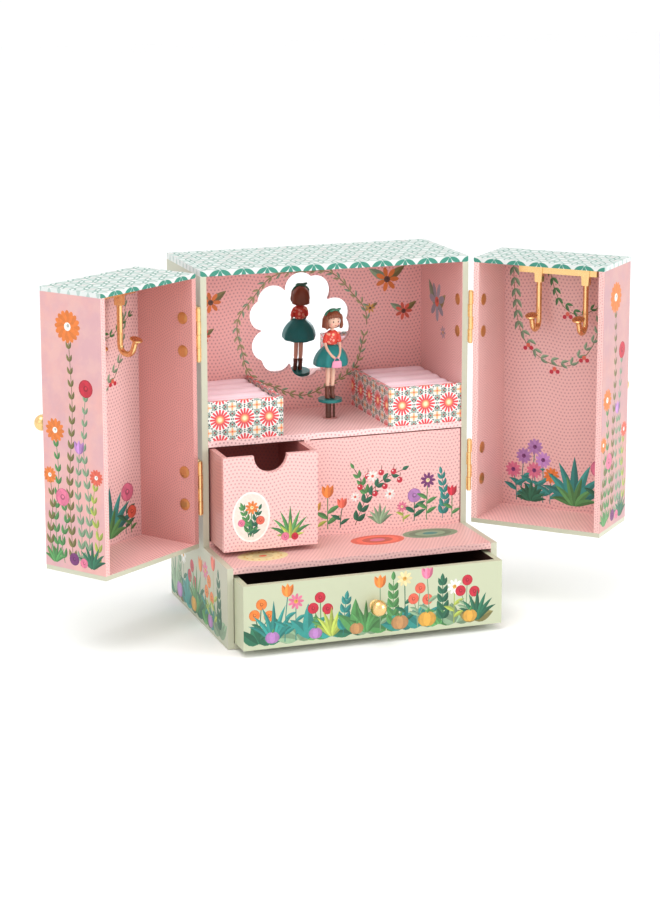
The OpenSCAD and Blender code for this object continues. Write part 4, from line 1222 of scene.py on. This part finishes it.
doll_part("doll_eyes", together(*eyes, *brows), eye_paint, head=True)
doll_part("doll_lips", egg(0, -5.4, 55.4, 0.85, 0.3, 0.30), lip_paint, head=True)
cheeks = [egg(s * 3.1, -4.72, 56.4, 0.85, 0.28, 0.75) for s in (-1, 1)]
doll_part("doll_cheeks", together(*cheeks), cheek_paint, head=True)

hair_rings = []
for t in (k / 11 for k in range(12)):
    z = 52.4 + 14.0 * t
    size = sqrt(max(0.02, 1 - max(0.0, (z - 59.6) / 7.0) ** 2)) * (1 + 0.05 * max(0.0, (59.0 - z) / 6.5))
    # below the brow the bob is set back, clear of her face
    y, deeper = (2.55, 0.0) if z < 60.5 else (0.5, 2.0)
    hair_rings.append((0, y, z, 6.7 * size, 4.6 * size + deeper,
                       lambda a, t=t: 1 + 0.018 * sin(11 * a + 2 * t) + 0.012 * sin(19 * a)))
side_locks = [limb([(s * 5.0, -2.2, 63.5), (s * 6.3, -2.6, 60.0), (s * 6.5, -2.7, 56.5),
                    (s * 6.1, -2.9, 53.6), (s * 5.2, -3.0, 52.5)], (1.1, 1.6, 1.75, 1.6, 0.8), 12)
              for s in (-1, 1)]
fringe_line = ((1.25, -2.6, 0.35, 65.2, 0.35), (1.5, -4.9, 0.4, 63.4, 0.25),
               (1.62, -5.55, 0.5, 61.4, 0.15), (1.66, -5.5, 0.55, 60.7, 0.25))
fringe = [limb([(k * wide, y + abs(k) * back, z - abs(k) * drop)
                for wide, y, back, z, drop in fringe_line], (0.8, 1.15, 0.85, 0.3), 8) for k in range(-3, 4)]
doll_part("doll_hair", together(lofted(hair_rings, 40), *side_locks, *fringe), hair_paint, head=True)
band = limb([(6.75 * cos(t), 0.2 + 0.2 * cos(t), 59.8 + 6.95 * sin(t)) for t in
             (pi * (0.12 + 0.76 * k / 14) for k in range(15))], (0.95,) * 15, 8)
knot = egg(0.6, -2.4, 66.6, 1.3, 1.2, 1.1)
long_tail = limb([(0.8, -2.4, 66.7), (2.6, -2.6, 66.6), (4.4, -2.7, 66.9), (5.3, -2.6, 67.9)],
                 (0.7, 1.25, 1.15, 0.25), 8)
short_tail = limb([(0.3, -2.4, 66.7), (-1.5, -2.6, 66.7), (-3.2, -2.7, 66.2), (-4.2, -2.6, 65.6)],
                  (0.7, 1.15, 1.0, 0.25), 8)
doll_part("doll_bow", together(band, knot, long_tail, short_tail), bow_paint, head=True)
# the disc is teal, its two rods brown, and the hub in the shelf pink like the paper
stand_paint = painted("stand_paint", (0.02, 0.24, 0.23), 0.3)
shader = stand_paint.node_tree.nodes["Principled BSDF"]
teal = Value(shader.inputs["Base Color"].links[0].from_socket)
up = split(Value(add_node("TexCoord", [teal]).outputs["Object"]))[2]
lower = blend(up < shelf_z + 0.1 * mm, (0.13, 0.065, 0.045), (0.70, 0.36, 0.33))
plug(shader, Base_Color=blend(up < foot_z - 2.45 * mm, teal, lower))
dress("doll_stand", stand_paint)
